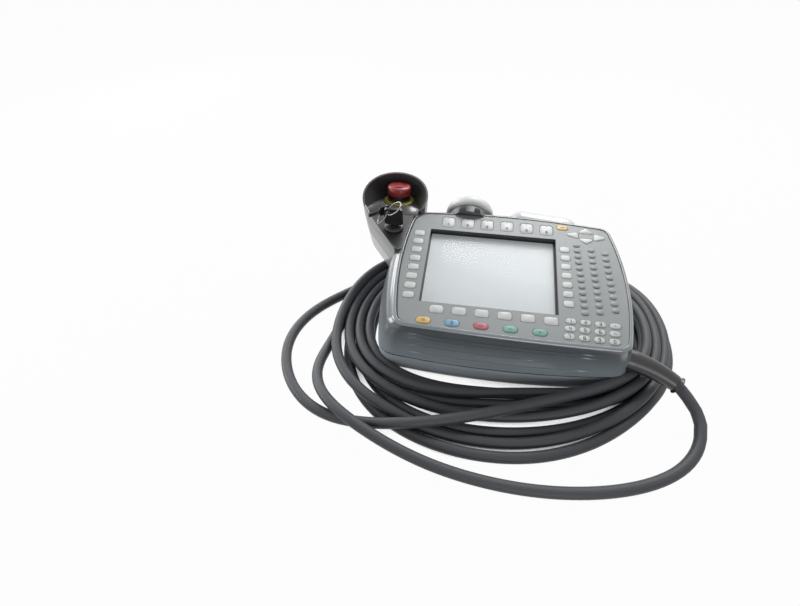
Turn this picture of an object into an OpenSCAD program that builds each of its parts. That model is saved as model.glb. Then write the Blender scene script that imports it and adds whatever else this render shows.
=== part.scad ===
// Teach pendant for an industrial robot: a moulded hand terminal with a colour screen, a keypad,
// an emergency stop in a guarded lobe, a mode key, a puck on the top edge and a coiled lead.
// The housing is drawn in the panel's own frame: x to the right, y up the panel, z out of it,
// zero at the middle of the screen opening. placed() then leans it on its lower edge.

/* [Stance] */
// Lean of the panel towards the user, degrees
lean = 10; // [2:1:16]

/* [Housing] */
// From the screen's middle to the centre of the lower left corner
reach_left = 92; // [90:1:120]
// From the screen's middle to the centre of the lower right corner
reach_right = 148; // [144:1:180]
// From the screen's middle to the centres of the lower corners
reach_front = 83.5; // [82:0.5:110]
// From the screen's middle to the centre of the upper right corner
reach_back = 77; // [74:1:100]
// Depth from the panel to the flat back
depth = 98; // [88:1:130]
// Depth from the panel to the joint between the two shells
joint_depth = 58; // [56:1:66]
// Wall thickness of both shells
wall = 3; // [2.2:0.1:4]
// Thickness of the gasket in the joint
gasket_t = 0.8; // [0.5:0.1:1.5]
// Radius of the lower edge of the rear shell
belly_r = 20; // [14:1:24]
// Width of the raised rim round the keypad
rim_w = 4.5; // [3.5:0.1:6]
// Number of grip grooves on the front wall
grooves = 4; // [2:1:5]

/* [Screen] */
// Width of the screen opening
screen_w = 165; // [150:1:166]
// Height of the screen opening
screen_h = 126.4; // [110:0.2:127]
// Depth of the window below the panel
window_depth = 7; // [6:0.5:10]
// Thickness of the window
window_t = 2; // [1:0.5:3]

/* [Keypad] */
// Thickness of the keypad overlay
overlay_t = 1; // [0.6:0.1:1.6]
// Height of the key tops above the overlay
key_rise = 1.2; // [1:0.1:2]
// Play between a key and its opening
key_play = 0.35; // [0.2:0.05:0.6]
// Pitch of the six menu keys
menu_pitch = 26.2; // [24:0.1:27]
// Pitch of the six soft keys
soft_pitch = 26.73; // [24:0.01:27]
// Pitch of the seven status keys on the right
right_pitch = 15; // [12:0.1:16]
// Pitch of the eight status keys on the left
left_pitch = 15.44; // [12:0.01:16]

/* [Control lobe] */
// Radius of the round end of the lobe
lobe_r = 46.5; // [42:0.5:52]
// Slope of the emergency stop's seat, degrees
seat_slope = 17; // [10:1:22]
// Height of the guard's rim above the panel at the back
guard_rise = 15; // [8:1:22]
// Diameter of the emergency stop's cap
estop_d = 34; // [30:1:40]
// Diameter of the neck under the cap
neck_d = 22; // [16:1:26]
// Travel of the emergency stop
estop_travel = 4; // [3:0.5:6]

/* [Puck] */
// Diameter of the puck
puck_d = 68; // [50:1:72]
// Thickness of the puck
puck_t = 19; // [12:1:26]

/* [Back] */
// Length of an enabling switch
enable_l = 62; // [40:1:70]
// Width of an enabling switch
enable_w = 15; // [10:1:20]
// How far the switches stand out of the back
enable_rise = 5; // [3:0.5:6]

/* [Lead] */
// Diameter of the lead
lead_d = 13.5; // [10:0.5:16]
// Length of the strain relief sleeve
sleeve_l = 74; // [50:1:90]
// Height of the coil of spare lead
coil_h = 27; // [20:1:28]
// Diameter of the connector's coupling ring
coupling_d = 38; // [34:1:44]

/* [Hidden] */

function lerp(a, b, t) = a + (b - a) * t;
function polar(c, r, a) = c + r * [cos(a), sin(a)];
function heading(v) = atan2(v[1], v[0]);
function wrap180(a) = a - 360 * round(a / 360);

// ---- Outline of the housing: four corner arcs joined by four bowed sides ----
// Corners run from the lower left, anticlockwise; the rim's values come first, the girth's second.
corner_at = [
    [-reach_left, -reach_front],
    [reach_right, -reach_front - 7],
    [reach_right - 9.5, reach_back],
    [7.5 - reach_left, reach_back - 6.5]];
keypad_r = [13, 10, 12, 22];
flare = [[-15, 1.5], [4, 10.5], [3.5, -5], [-15.5, -10.5]];
girth_r = [25, 24, 24, 36];
// Bow of each side as 1 / radius: front, right, back, left
rim_bow = [1 / 3500, 1 / 400, 1 / 1000, 1 / 460];
girth_bow = [1 / 1190, 1 / 400, 1 / 1000, 1 / 460];
corner_steps = 6;
side_steps = 6;
// Height of the rim above the overlay, and the radius of its outer edge
rim_rise = 0.9;
rim_edge = 3.5;

function bow(i, t) = 1 / lerp(rim_bow[i], girth_bow[i], t);
// On the left the wall leaves the rim as a wide bevel, so its corners move out sooner
function corner(i, t, left_t) =
    corner_at[i] + [flare[i][0] * (i == 0 || i == 3 ? left_t : t), flare[i][1] * t];
function corner_radius(i, t) = lerp(keypad_r[i] + rim_w, girth_r[i], t);
// Centre of an arc of radius r that runs inside two circles and touches both
function touching(c1, r1, c2, r2, r) =
    let (d = norm(c2 - c1), u = (c2 - c1) / d, a = r - r1, b = r - r2,
         x = (a * a - b * b + d * d) / (2 * d))
    c1 + x * u + sqrt(a * a - x * x) * [-u[1], u[0]];
function side_centres(t, left_t) =
    [for (i = [0:3])
        let (j = (i + 1) % 4)
        touching(corner(i, t, left_t), corner_radius(i, t),
                 corner(j, t, left_t), corner_radius(j, t), bow(i, t))];
function arc(c, r, from, to, steps, skip = 0) =
    [for (k = [skip:steps - skip]) polar(c, r, from + wrap180(to - from) * k / steps)];
function outline(t, left_t, inset) =
    let (s = side_centres(t, left_t))
    [for (i = [0:3])
        let (j = (i + 1) % 4, h = (i + 3) % 4, c = corner(i, t, left_t),
             c_next = corner(j, t, left_t), leave = heading(c - s[i]))
        each concat(
            arc(c, corner_radius(i, t) - inset, heading(c - s[h]), leave, corner_steps),
            arc(s[i], bow(i, t) - inset, leave, heading(c_next - s[i]), side_steps, 1))];
function girth_front() = side_centres(1, 1)[0][1] - bow(0, 1);

// ---- Stance ----
// Shift that puts the middle of the terminal's footprint on the origin
foot_shift = [3.2, -29.5];
// Front-most point of the housing at its girth
front_y = girth_front();
// Height of the panel's zero so that the rear shell's front edge rests on the floor
lift = belly_r - (front_y + belly_r) * sin(lean) + (depth - belly_r) * cos(lean);

module placed() {
    translate([foot_shift[0], foot_shift[1], lift])
        rotate([lean, 0, 0])
            children();
}

// A solid through a stack of rings [height, points], from the lowest to the highest
module loft(rings) {
    n = len(rings[0][1]);
    top = len(rings) - 1;
    polyhedron(
        points = [for (r = rings) each [for (p = r[1]) [p[0], p[1], r[0]]]],
        faces = concat(
            [[for (k = [0:n - 1]) k]],
            [[for (k = [n - 1:-1:0]) top * n + k]],
            [for (j = [0:top - 1], k = [0:n - 1])
                let (a = j * n + k, b = j * n + (k + 1) % n)
                each [[a, a + n, b + n], [a, b + n, b]]]));
}

// ---- Walls of the two shells ----
function flare_at(z) = pow(min(1, max(0, -z / joint_depth)), 0.85);
function bevel_at(z) = pow(min(1, max(0, -z / joint_depth)), 0.45);
function wall_ring(z, inset) = [z, outline(flare_at(z), bevel_at(z), inset)];
wall_levels = [0.8, 0.6, 0.42, 0.26, 0.14];
rim_turns = [0:30:90];
deck_t = 3;
deck_under = overlay_t + deck_t;

// The front shell's outer form, solid, down to a given depth
module front_form(foot = joint_depth) {
    loft(concat(
        [wall_ring(-foot, 0)],
        [for (f = wall_levels) if (f * joint_depth < foot) wall_ring(-f * joint_depth, 0)],
        [for (a = rim_turns) [rim_rise - rim_edge * (1 - sin(a)),
                              outline(0.04, 0.16, rim_edge * (1 - cos(a)))]]));
}

module front_hollow() {
    loft(concat(
        [wall_ring(-joint_depth - 1, wall)],
        [for (f = [0.75, 0.5, 0.25]) wall_ring(-f * joint_depth, wall)],
        [wall_ring(-deck_under, wall + 2)]));
}

belly_turns = [0:18:90];
// The rear shell's form, inside its outer wall by inset, up to a given height
module rear_form(inset, head) {
    r = belly_r - inset;
    loft(concat(
        [for (b = belly_turns) [-depth + inset + r * (1 - cos(b)),
                                outline(1, 1, inset + r * (1 - sin(b)))]],
        [[head, outline(1, 1, inset)]]));
}

// ---- Keys: each is [centre, corner centres, corner radius] ----
// Points round a convex row of circle centres, anticlockwise
function rounded(centres, r, steps = 4) =
    let (n = len(centres))
    [for (i = [0:n - 1])
        let (into = heading(centres[i] - centres[(i + n - 1) % n]) - 90,
             out = heading(centres[(i + 1) % n] - centres[i]) - 90,
             sweep = (out - into + 720) % 360)
        for (k = [0:steps]) polar(centres[i], r, into + sweep * k / steps)];
function box_corners(w, h, r) =
    [[r - w / 2, r - h / 2], [w / 2 - r, r - h / 2], [w / 2 - r, h / 2 - r], [r - w / 2, h / 2 - r]];
// An arrow's three corners, pointing along +x before it is turned
function arrow_corners(length, base, r) =
    [[length / 2 - 1.4 * r, 0], [r - length / 2, base / 2 - r], [r - length / 2, r - base / 2]];
function turned(points, a) =
    [for (p = points) [p[0] * cos(a) - p[1] * sin(a), p[0] * sin(a) + p[1] * cos(a)]];

function box_key(at, size, r) = [at, box_corners(size[0], size[1], r), r];
function oval_key(at, size) = box_key(at, size, 0.46 * size[1]);
function arrow_key_shape(at, length, base, a) = [at, turned(arrow_corners(length, base, 2.4), a), 2.4];

menu_keys = [for (i = [0:5])
    box_key([5.45 + (i - 2.5) * menu_pitch, reach_back + 2.5 - 0.11 * pow(i - 2.5, 2)],
            [17, 19.5], 4)];
soft_keys = [for (i = [0:5])
    box_key([6.9 + (i - 2.5) * soft_pitch, 11.2 - reach_front - 0.09 * pow(i - 2.5, 2)],
            [16.5, 12], 3)];
colour_keys = [for (i = [0:4]) oval_key([-6.4 + (i - 2) * 33.5, -reach_front - 7.5], [17, 9.5])];
right_keys = [for (i = [0:6])
    box_key([reach_right - 53.9 + 0.23 * (i - 3), (3 - i) * right_pitch], [12.5, 9.5], 3)];
left_keys = [for (i = [0:7])
    box_key([-reach_left - 4.5, -1.1 + (3.5 - i) * left_pitch], [14, 10], 3)];
number_keys = [for (r = [0:2], c = [0:3])
    oval_key([reach_right - 28.7 + (c - 1.5) * 16.5 - 1.4 * (r - 1),
              1.8 - reach_front - (r - 1) * 11.1 - 0.26 * (c - 1.5)], [12.4, 7.6])];
enter_shape = oval_key([reach_right - 56, reach_back + 9], [15, 8.6]);
arrow_mid = [reach_right - 26, reach_back - 3];
arrow_shapes = [
    arrow_key_shape(arrow_mid + [-17.7, 0], 16, 12, 180),
    arrow_key_shape(arrow_mid + [0, 9.3], 10.5, 17, 90),
    arrow_key_shape(arrow_mid + [17.2, -2], 15.5, 12, 0),
    arrow_key_shape(arrow_mid + [-0.4, -10.2], 10.5, 17, -90)];
all_keys = concat(menu_keys, soft_keys, colour_keys, right_keys, left_keys, number_keys,
                  [enter_shape], arrow_shapes);

// Prism of a key's outline, grown by a margin, between two heights
module key_prism(key, margin, low, high) {
    translate([key[0][0], key[0][1], low])
        linear_extrude(high - low)
            polygon(rounded(key[1], key[2] + margin));
}

flange_w = 0.8;
flange_t = 1;
crown_r = 45;
// A key cap with a crowned top and a flange that keeps it under the deck
module key_cap(key) {
    foot = -deck_under - 0.3 - flange_t;
    placed() {
        key_prism(key, flange_w, foot, foot + flange_t);
        intersection() {
            key_prism(key, 0, foot, key_rise + 1);
            translate([key[0][0], key[0][1], key_rise - crown_r])
                sphere(crown_r, $fn = 64);
        }
    }
}

module key_openings() {
    for (key = all_keys) key_prism(key, key_play, -deck_under - 1, 1);
}

// ---- Screws that join the shells ----
screw_at = [[-reach_left - 3, 5.5 - reach_front], [reach_right + 4, 25.5 - reach_front],
            [reach_right - 2, reach_back - 27], [-reach_left - 5, reach_back - 6]];
screw_d = 3;
boss_d = 10;
head_d = 6;
head_sink = 8;
screw_grip = 22;

// ---- Screen ----
frame_t = 2;
window_lap = 3;
module_t = 11;
board_t = 1.6;
board_gap = 3.6;

module screen_block(margin, low, high) {
    translate([-screen_w / 2 - margin, -screen_h / 2 - margin, low])
        cube([screen_w + 2 * margin, screen_h + 2 * margin, high - low]);
}

// ---- Lead outlet in the right wall ----
outlet_at = [reach_right + 20, -reach_front - 0.5, -43];
outlet_yaw = -6;
outlet_dip = 6;
gland_d = 22;
module at_outlet() {
    translate(outlet_at)
        rotate([0, 0, outlet_yaw])
            rotate([0, 90 + outlet_dip, 0])
                children();
}

// ---- Grip grooves in the front wall ----
groove_depth = 1.1;
groove_reach = 100;
module grip_groove(z) {
    t = flare_at(z);
    s = side_centres(t, bevel_at(z))[0];
    wall_r = bow(0, t);
    r = 1 / (1 / wall_r - 2 * groove_depth / pow(groove_reach, 2));
    c = [s[0], s[1] - wall_r + groove_depth + r];
    span = asin(1.2 * groove_reach / r);
    translate([0, 0, z])
        linear_extrude(2)
            polygon(concat(arc(c, r, -90 - span, -90 + span, 24),
                           arc(c, r + 6, -90 + span, -90 - span, 24)));
}

// ---- Finger rest behind the top edge ----
rest_r = 22;
rest_ends = [[42, reach_back + 33.5, -26], [96, reach_back + 27, -26]];
module finger_rest() {
    hull()
        for (p = rest_ends) translate(p) sphere(rest_r, $fn = 24);
}

// ---- Puck on the top edge, its axis along the panel ----
puck_at = [-33, 0, -24];
puck_wall = reach_back + 23;
puck_base_top = puck_wall + 8;
puck_gap = 3;
puck_neck_d = 28;
running = 0.05;
module at_puck(y) {
    translate([puck_at[0], y, puck_at[2]])
        rotate([-90, 0, 0])
            children();
}

module front_shell() {
    color([0.29, 0.31, 0.33])
    placed() difference() {
        union() {
            difference() {
                union() {
                    front_form();
                    finger_rest();
                }
                front_hollow();
            }
            screen_block(frame_t, -window_depth, -overlay_t - deck_t / 2);
            for (p = screw_at) translate([p[0], p[1], -joint_depth])
                cylinder(d = boss_d, h = joint_depth - overlay_t - deck_t / 2, $fn = 48);
        }
        translate([0, 0, -overlay_t])
            linear_extrude(overlay_t + rim_rise + 1)
                polygon(outline(0, 0, rim_w));
        screen_block(0, -window_depth - 1, 1);
        key_openings();
        for (p = screw_at) translate([p[0], p[1], -joint_depth - 1])
            cylinder(d = screw_d, h = screw_grip + 3, $fn = 32);
        for (i = [0:grooves - 1]) grip_groove(-20 - 9 * i);
        at_outlet() translate([0, 0, -20]) cylinder(d = gland_d, h = 40, $fn = 48);
        at_lock() translate([0, 0, -lock_depth - 1])
            cylinder(r = lock_r + lock_clear, h = lock_depth - 4, $fn = 48);
    }
}

// ---- Rear shell ----
enable_at = [[-reach_left - 6, 12, 90], [22, reach_back - 15, 0], [reach_right - 15, 8, 90]];
enable_flange = 2;
enable_end_r = 0.4 * enable_w;
enable_travel = 3;
start_at = [22, 22];
start_d = 16;
sliding = 0.3;

module enable_bar(i, margin, low, high) {
    e = enable_at[i];
    translate([e[0], e[1], low])
        rotate([0, 0, e[2]])
            linear_extrude(high - low)
                polygon(rounded(box_corners(enable_l, enable_w, enable_end_r), enable_end_r + margin));
}

module rear_shell() {
    floor_z = wall - depth;
    color([0.27, 0.29, 0.31])
    placed() difference() {
        union() {
            difference() {
                rear_form(0, -joint_depth - gasket_t);
                rear_form(wall, -joint_depth);
            }
            intersection() {
                rear_form(wall / 2, -joint_depth - gasket_t);
                union() {
                    for (p = screw_at) translate([p[0], p[1], -depth])
                        cylinder(d = boss_d + 1, h = depth - joint_depth - gasket_t, $fn = 48);
                }
            }
        }
        for (p = screw_at) translate([p[0], p[1], -depth - 1]) {
            cylinder(d = screw_d + 0.6, h = depth, $fn = 32);
            cylinder(d = head_d + 1, h = head_sink + 1, $fn = 32);
        }
        for (i = [0:2]) enable_bar(i, sliding, -depth - 1, floor_z + 1);
        translate([start_at[0], start_at[1], -depth - 1])
            cylinder(d = start_d + 2 * running, h = wall + 2, $fn = 48);
    }
}

module shell_gasket() {
    color([0.06, 0.06, 0.07])
    placed() translate([0, 0, -joint_depth - gasket_t])
        linear_extrude(gasket_t)
            difference() {
                polygon(outline(1, 1, 0.6));
                polygon(outline(1, 1, wall));
            }
}

// ---- Keypad overlay with its embossed letter domes ----
// Each column: x at the top and bottom, y at the top and bottom, number of domes
dome_columns = [[reach_right - 39, reach_right - 35, 55, -56, 12],
                [reach_right - 21, reach_right - 18, 48, -53, 11],
                [reach_right - 4, reach_right, 44, -48, 10]];
dome_size = [9, 6];
dome_rise = 1.1;
dome_r = 14;
module letter_dome(at) {
    translate([at[0], at[1], 0])
        intersection() {
            translate([0, 0, -overlay_t / 2])
                linear_extrude(dome_rise + overlay_t)
                    polygon(rounded(box_corners(dome_size[0], dome_size[1], 2.9), 2.9));
            translate([0, 0, dome_rise - dome_r]) sphere(dome_r, $fn = 64);
        }
}

module keypad_overlay() {
    color([0.60, 0.61, 0.62])
    placed() {
        difference() {
            translate([0, 0, -overlay_t])
                linear_extrude(overlay_t)
                    polygon(outline(0, 0, rim_w + 0.3));
            screen_block(0, -window_depth, 1);
            key_openings();
        }
        for (c = dome_columns, k = [0:c[4] - 1])
            letter_dome([lerp(c[0], c[1], k / (c[4] - 1)), lerp(c[2], c[3], k / (c[4] - 1))]);
    }
}

module display_window() {
    color([0.85, 0.88, 0.9, 0.4])
    placed() screen_block(window_lap, -window_depth - window_t, -window_depth);
}

module display_module() {
    low = -window_depth - window_t - module_t;
    color([0.87, 0.89, 0.9])
    placed() {
        screen_block(window_lap + 1.5, low, -window_depth - window_t);
        translate([-30, -20, low - 4]) cube([60, 40, 4]);
    }
}

module keypad_board() {
    top = -deck_under - board_gap;
    color([0.1, 0.35, 0.2])
    placed() difference() {
        translate([0, 0, top - board_t])
            linear_extrude(board_t)
                polygon(outline(0, 0, rim_w + 5));
        screen_block(window_lap + 2.5, top - board_t - 1, top + 1);
        for (p = screw_at) translate([p[0], p[1], top - board_t - 1])
            cylinder(d = boss_d, h = board_t + 2, $fn = 48);
    }
}

module housing_screws() {
    head_top = -depth + head_sink;
    color([0.35, 0.35, 0.36])
    placed() for (p = screw_at) translate([p[0], p[1], 0]) {
        translate([0, 0, head_top])
            cylinder(d = screw_d, h = screw_grip - joint_depth - head_top, $fn = 32);
        translate([0, 0, head_top - 3]) difference() {
            cylinder(d = head_d, h = 3, $fn = 32);
            translate([0, 0, -1]) cylinder(d = 2.5, h = 2.6, $fn = 6);
        }
    }
}

// ---- Enabling switches and start button in the back ----
module enabling_switch(i) {
    color([0.62, 0.63, 0.64])
    placed() {
        enable_bar(i, 0, -depth - enable_rise, -depth + wall + 1);
        enable_bar(i, enable_flange, wall - depth + 0.4, wall - depth + 2.4);
    }
}

module start_button() {
    color([0.2, 0.55, 0.3])
    placed() translate([start_at[0], start_at[1], -depth]) {
        translate([0, 0, -2.5]) cylinder(d = start_d, h = wall + 3.5, $fn = 48);
        translate([0, 0, wall + 0.4]) cylinder(d = start_d + 4, h = 1.6, $fn = 48);
    }
}

// ---- Control lobe ----
lobe_at = [-reach_left - 47.5, reach_back + 36.5];
tip_at = [-reach_left - 29.5, reach_back - 53];
tip_r = 7;
lobe_depth = 84;
lobe_joint = 40;
lobe_belly_r = 16;
lobe_draft = 9;
face_z = 1;
crest_y = reach_back + 8;
lip_w = 2.6;
cover_t = 2.5;
tip_rise = 2.5;
estop_at = lobe_at + [2, 18.5];
seat_t = 4;
seat_z = face_z - tan(seat_slope) * (estop_at[1] - crest_y);

function unit(v) = v / norm(v);
function arc_up(c, r, from, to, steps) = [for (k = [0:steps]) polar(c, r, lerp(from, to, k / steps))];
lobe_taper = (lobe_r - tip_r) / norm(tip_at - lobe_at);
tip_least_r = 1.5;
// The lobe's plan: a big circle and a small one joined by their tangents, inside by inset
function lobe_plan(inset) =
    let (r = max(tip_least_r, tip_r - inset),
         tip = tip_at + unit(lobe_at - tip_at) * (r - tip_r + inset) / lobe_taper,
         a = heading(tip_at - lobe_at), open = acos(lobe_taper))
    concat(arc_up(lobe_at, lobe_r - inset, a + open, a + 360 - open, 26),
           arc_up(tip, r, a - open, a + open, 6));
function draft_at(z) = lobe_draft * pow(max(0, -z) / lobe_depth, 1.3);

// The lobe's form between its rounded bottom and a given height, inside its outer surface by inset
lobe_levels = [-55, -36, -18, 3];
module lobe_form(inset, head) {
    r = lobe_belly_r - inset;
    turn_z = -lobe_depth + inset + r;
    loft(concat(
        [for (b = [0:22.5:90]) [turn_z - r * cos(b), lobe_plan(inset + draft_at(turn_z) + r * (1 - sin(b)))]],
        [for (z = lobe_levels) if (z > turn_z + 1 && z < head - 1) [z, lobe_plan(inset + draft_at(z))]],
        [[head, lobe_plan(inset)]]));
}

// A slab across the lobe whose side view is a list of [y, z] points
module side_slab(points) {
    translate([-200, 0, 0])
        rotate([90, 0, 90])
            linear_extrude(130)
                polygon(points);
}
lobe_near = 0;
lobe_far = 175;
function ease(u) = let (v = min(1, max(0, u))) v * v * (3 - 2 * v);
function guard_z(y) = tip_rise + (guard_rise - tip_rise) * ease((y - 50) / 115);
function face_at(y) = face_z - tan(seat_slope) * max(0, y - crest_y);
module below_guard(low) {
    side_slab(concat([[lobe_far, low], [lobe_far, guard_z(lobe_far)]],
                     [for (y = [165:-15:45]) [y, guard_z(y)]],
                     [[lobe_near, guard_z(lobe_near)], [lobe_near, low]]));
}
module below_face(drop, low) {
    side_slab([[lobe_near, low], [lobe_far, low], [lobe_far, face_at(lobe_far) - drop],
               [crest_y, face_z - drop], [lobe_near, face_z - drop]]);
}
// What the two shells fill, and the air above the front one
module beside_shells(margin = 0) {
    front_form();
    rear_form(0, -joint_depth);
    linear_extrude(40) polygon(outline(0, 0, -margin));
}
module at_estop() {
    translate([estop_at[0], estop_at[1], seat_z])
        rotate([-seat_slope, 0, 0])
            children();
}
// The bowl round the emergency stop: its floor on the sloping seat, its mouth at the guard's rim
bowl_floor_r = 24;
bowl_side_y = [crest_y + 12, crest_y];
module guard_bowl() {
    r = lobe_r - lip_w;
    function half(y) = sqrt(r * r - pow(y - lobe_at[1], 2));
    sides = [for (y = bowl_side_y) each [[lobe_at[0] - half(y), y], [lobe_at[0] + half(y), y]]];
    hull() {
        at_estop() cylinder(r = bowl_floor_r, h = 0.01, $fn = 32);
        for (p = sides) translate([p[0], p[1], face_at(p[1])]) cube([0.01, 0.01, 0.01]);
        translate([lobe_at[0], lobe_at[1], guard_z(lobe_at[1])])
            rotate([7.5, 0, 0]) cylinder(r = r, h = 12, $fn = 48);
    }
}
ridge_w = 3;
module face_area(inset, low, high) {
    translate([0, 0, low])
        linear_extrude(high - low)
            difference() {
                intersection() {
                    polygon(lobe_plan(lip_w + inset));
                    translate([-250, -50]) square([200, crest_y + 50 - inset]);
                }
                polygon(outline(0, 0, -ridge_w - inset));
            }
}
collar_r = 16.6;
collar_h = 3.5;
lock_at = lobe_at + [7.5, -55.5];
lock_r = 10;

module control_housing() {
    color([0.25, 0.26, 0.28])
    placed() difference() {
        union() {
            difference() {
                intersection() {
                    lobe_form(0, 25);
                    below_guard(-lobe_joint);
                }
                intersection() {
                    lobe_form(wall, 20);
                    below_face(seat_t + cover_t, -lobe_joint - 1);
                }
                guard_bowl();
                face_area(0, face_z - cover_t, 30);
            }
            at_estop() translate([0, 0, -1]) cylinder(r = collar_r, h = collar_h + 1, $fn = 48);
        }
        at_estop() translate([0, 0, -30]) cylinder(d = neck_d + 2 * running, h = 60, $fn = 48);
        translate([lock_at[0], lock_at[1], -30]) cylinder(r = lock_r, h = 40, $fn = 48);
        beside_shells();
    }
}

lid_reveal = 0.8;
module control_lid() {
    color([0.25, 0.26, 0.28])
    placed() difference() {
        union() {
            intersection() {
                lobe_form(0, 0);
                side_slab([[lobe_near, -100], [lobe_far, -100], [lobe_far, -lobe_joint - lid_reveal],
                           [lobe_near, -lobe_joint - lid_reveal]]);
            }
            intersection() {
                lobe_form(1, 0);
                side_slab([[lobe_near, -60], [lobe_far, -60], [lobe_far, -lobe_joint],
                           [lobe_near, -lobe_joint]]);
            }
        }
        lobe_form(wall, -lobe_joint + 5);
        beside_shells();
    }
}

module control_cover() {
    color([0.45, 0.45, 0.46])
    placed() difference() {
        face_area(0.4, face_z - cover_t, face_z);
        translate([lock_at[0], lock_at[1], -10]) cylinder(r = lock_r, h = 20, $fn = 48);
    }
}

// ---- Emergency stop, drawn along its own axis from the seat ----
cap_low = 9.5;
cap_high = 23;
stem_top = 13;
stem_low = -20;
module estop_cap() {
    r = estop_d / 2;
    color([0.72, 0.12, 0.13])
    placed() at_estop() difference() {
        rotate_extrude($fn = 64)
            polygon([[0, cap_low], [r - 1.5, cap_low], [r, cap_low + 1.2], [r, cap_high - 3.2],
                     [r - 0.6, cap_high - 2], [r - 2, cap_high - 0.9], [r - 6, cap_high - 0.2],
                     [0, cap_high]]);
        translate([0, 0, cap_low - 1])
            cylinder(d = neck_d + 2 * running, h = stem_top - cap_low + 1 + running, $fn = 48);
        for (a = [0:120:240]) rotate([0, 0, a])
            translate([0, 0, cap_high - 0.9])
                rotate_extrude(angle = 62, $fn = 48)
                    translate([8.2, 0]) square([2.6, 2]);
    }
}

module estop_stem() {
    color([0.07, 0.07, 0.08])
    placed() at_estop() translate([0, 0, stem_low])
        cylinder(d = neck_d, h = stem_top - stem_low, $fn = 48);
}

ring_r = 21.5;
module estop_ring() {
    color([0.86, 0.80, 0.30])
    placed() at_estop() rotate_extrude($fn = 64)
        polygon([[collar_r, 0], [ring_r, 0], [ring_r, 0.7], [ring_r - 0.7, 1.4], [collar_r, 1.4]]);
}

module estop_contact_block() {
    side = neck_d + 10;
    color([0.15, 0.15, 0.16])
    placed() at_estop() difference() {
        translate([-side / 2, -side / 2, -44])
            cube([side, side, 44 - (seat_t + cover_t) * cos(seat_slope)]);
        translate([0, 0, stem_low - estop_travel - 2])
            cylinder(d = neck_d + 2 * running, h = 40, $fn = 48);
        translate([-side, -3, -45]) cube([2 * side, 6, 5]);
    }
}

// ---- Mode lock and its keys ----
barrel_r = 6;
lock_rise = 5;
lock_depth = 24;
lock_clear = 0.5;
blade = [9, 2.2];
bow_size = [25, 4, 26.5];
bow_low = 7;
bow_hole = [-8, 20];
bow_hole_r = 2.9;
module at_lock() { translate([lock_at[0], lock_at[1], face_z]) children(); }

module mode_lock_body() {
    color([0.06, 0.06, 0.07])
    placed() at_lock() rotate_extrude($fn = 48)
        polygon([[barrel_r + running, -lock_depth], [lock_r, -lock_depth], [lock_r, 0], [13, 0],
                 [13, lock_rise - 1.5], [11.5, lock_rise], [barrel_r + running, lock_rise]]);
}

module mode_lock_barrel() {
    color([0.68, 0.69, 0.70])
    placed() at_lock() difference() {
        translate([0, 0, -22]) cylinder(r = barrel_r, h = 22 + lock_rise + 0.4, $fn = 48);
        translate([-blade[0] / 2 - 0.1, -blade[1] / 2 - 0.1, -16]) cube([blade[0] + 0.2, blade[1] + 0.2, 30]);
    }
}

module key_bow(size, hole, hole_r, r) {
    difference() {
        rotate([90, 0, 0])
            translate([0, 0, -size[1] / 2])
                linear_extrude(size[1])
                    polygon(rounded([for (p = box_corners(size[0], size[2], r)) p + [0, size[2] / 2]], r));
        translate([hole[0], 10, hole[1]])
            rotate([90, 0, 0]) cylinder(r = hole_r, h = 20, $fn = 32);
    }
}

module selector_key() {
    color([0.08, 0.08, 0.09])
    placed() at_lock() {
        translate([0, 0, bow_low]) key_bow(bow_size, bow_hole, bow_hole_r, 4);
        translate([-blade[0] / 2, -blade[1] / 2, -15]) cube([blade[0], blade[1], bow_low + 16]);
    }
}

// Both split rings pass through the selector key's hole
split_r = 11;
wire_r = 0.8;
hole_at = [lock_at[0] + bow_hole[0], lock_at[1], face_z + bow_low + bow_hole[1]];
loop_lean = 50;
second_lean = 35;
spare_turn = 60;
spare_yaw = 35;
module split_ring(middle, pitch) {
    translate(middle)
        rotate([0, -pitch, 0])
            rotate_extrude($fn = 48)
                translate([split_r, 0]) circle(wire_r, $fn = 16);
}
first_middle = hole_at - split_r * [cos(loop_lean), 0, sin(loop_lean)];
second_middle = hole_at + split_r * [cos(second_lean), 0, sin(second_lean)];
module key_ring() {
    color([0.75, 0.75, 0.76])
    placed() {
        split_ring(first_middle, loop_lean);
        split_ring(second_middle + [0, 0.4, 0], second_lean);
    }
}

spare_bow = [15, 2.6, 14];
module at_spare() {
    translate(first_middle + split_r * [cos(spare_turn) * cos(loop_lean), sin(spare_turn),
                                        cos(spare_turn) * sin(loop_lean)])
        rotate([0, 0, spare_yaw])
            children();
}
module spare_key() {
    color([0.10, 0.10, 0.11])
    placed() at_spare() {
        difference() {
            rotate([90, 0, 0])
                translate([0, 0, -spare_bow[1] / 2])
                    linear_extrude(spare_bow[1])
                        translate([-3.5, 0])
                            polygon(rounded(box_corners(spare_bow[0], spare_bow[2], 4), 4));
            translate([0, 10, 0]) rotate([90, 0, 0]) cylinder(r = 2.9, h = 20, $fn = 32);
        }
        translate([-26, -1, -2.6]) cube([16, 2, 5.2]);
    }
}

// ---- Puck ----
module puck_base() {
    r = puck_d / 2 - 2;
    rise = puck_base_top - puck_wall + 5;
    color([0.20, 0.21, 0.22])
    placed() difference() {
        at_puck(puck_wall - 5) rotate_extrude($fn = 64)
            polygon([[0, 0], [r, 0], [r, rise - 1], [r - 1, rise], [0, rise]]);
        front_form();
        at_puck(0) cylinder(d = puck_neck_d + 2 * running, h = 200, $fn = 48);
    }
}

module puck_carrier() {
    low = puck_base_top - 3;
    color([0.10, 0.10, 0.11])
    placed() at_puck(low)
        cylinder(d = puck_neck_d, h = puck_gap + 3 + puck_t * 0.4, $fn = 48);
}

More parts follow.
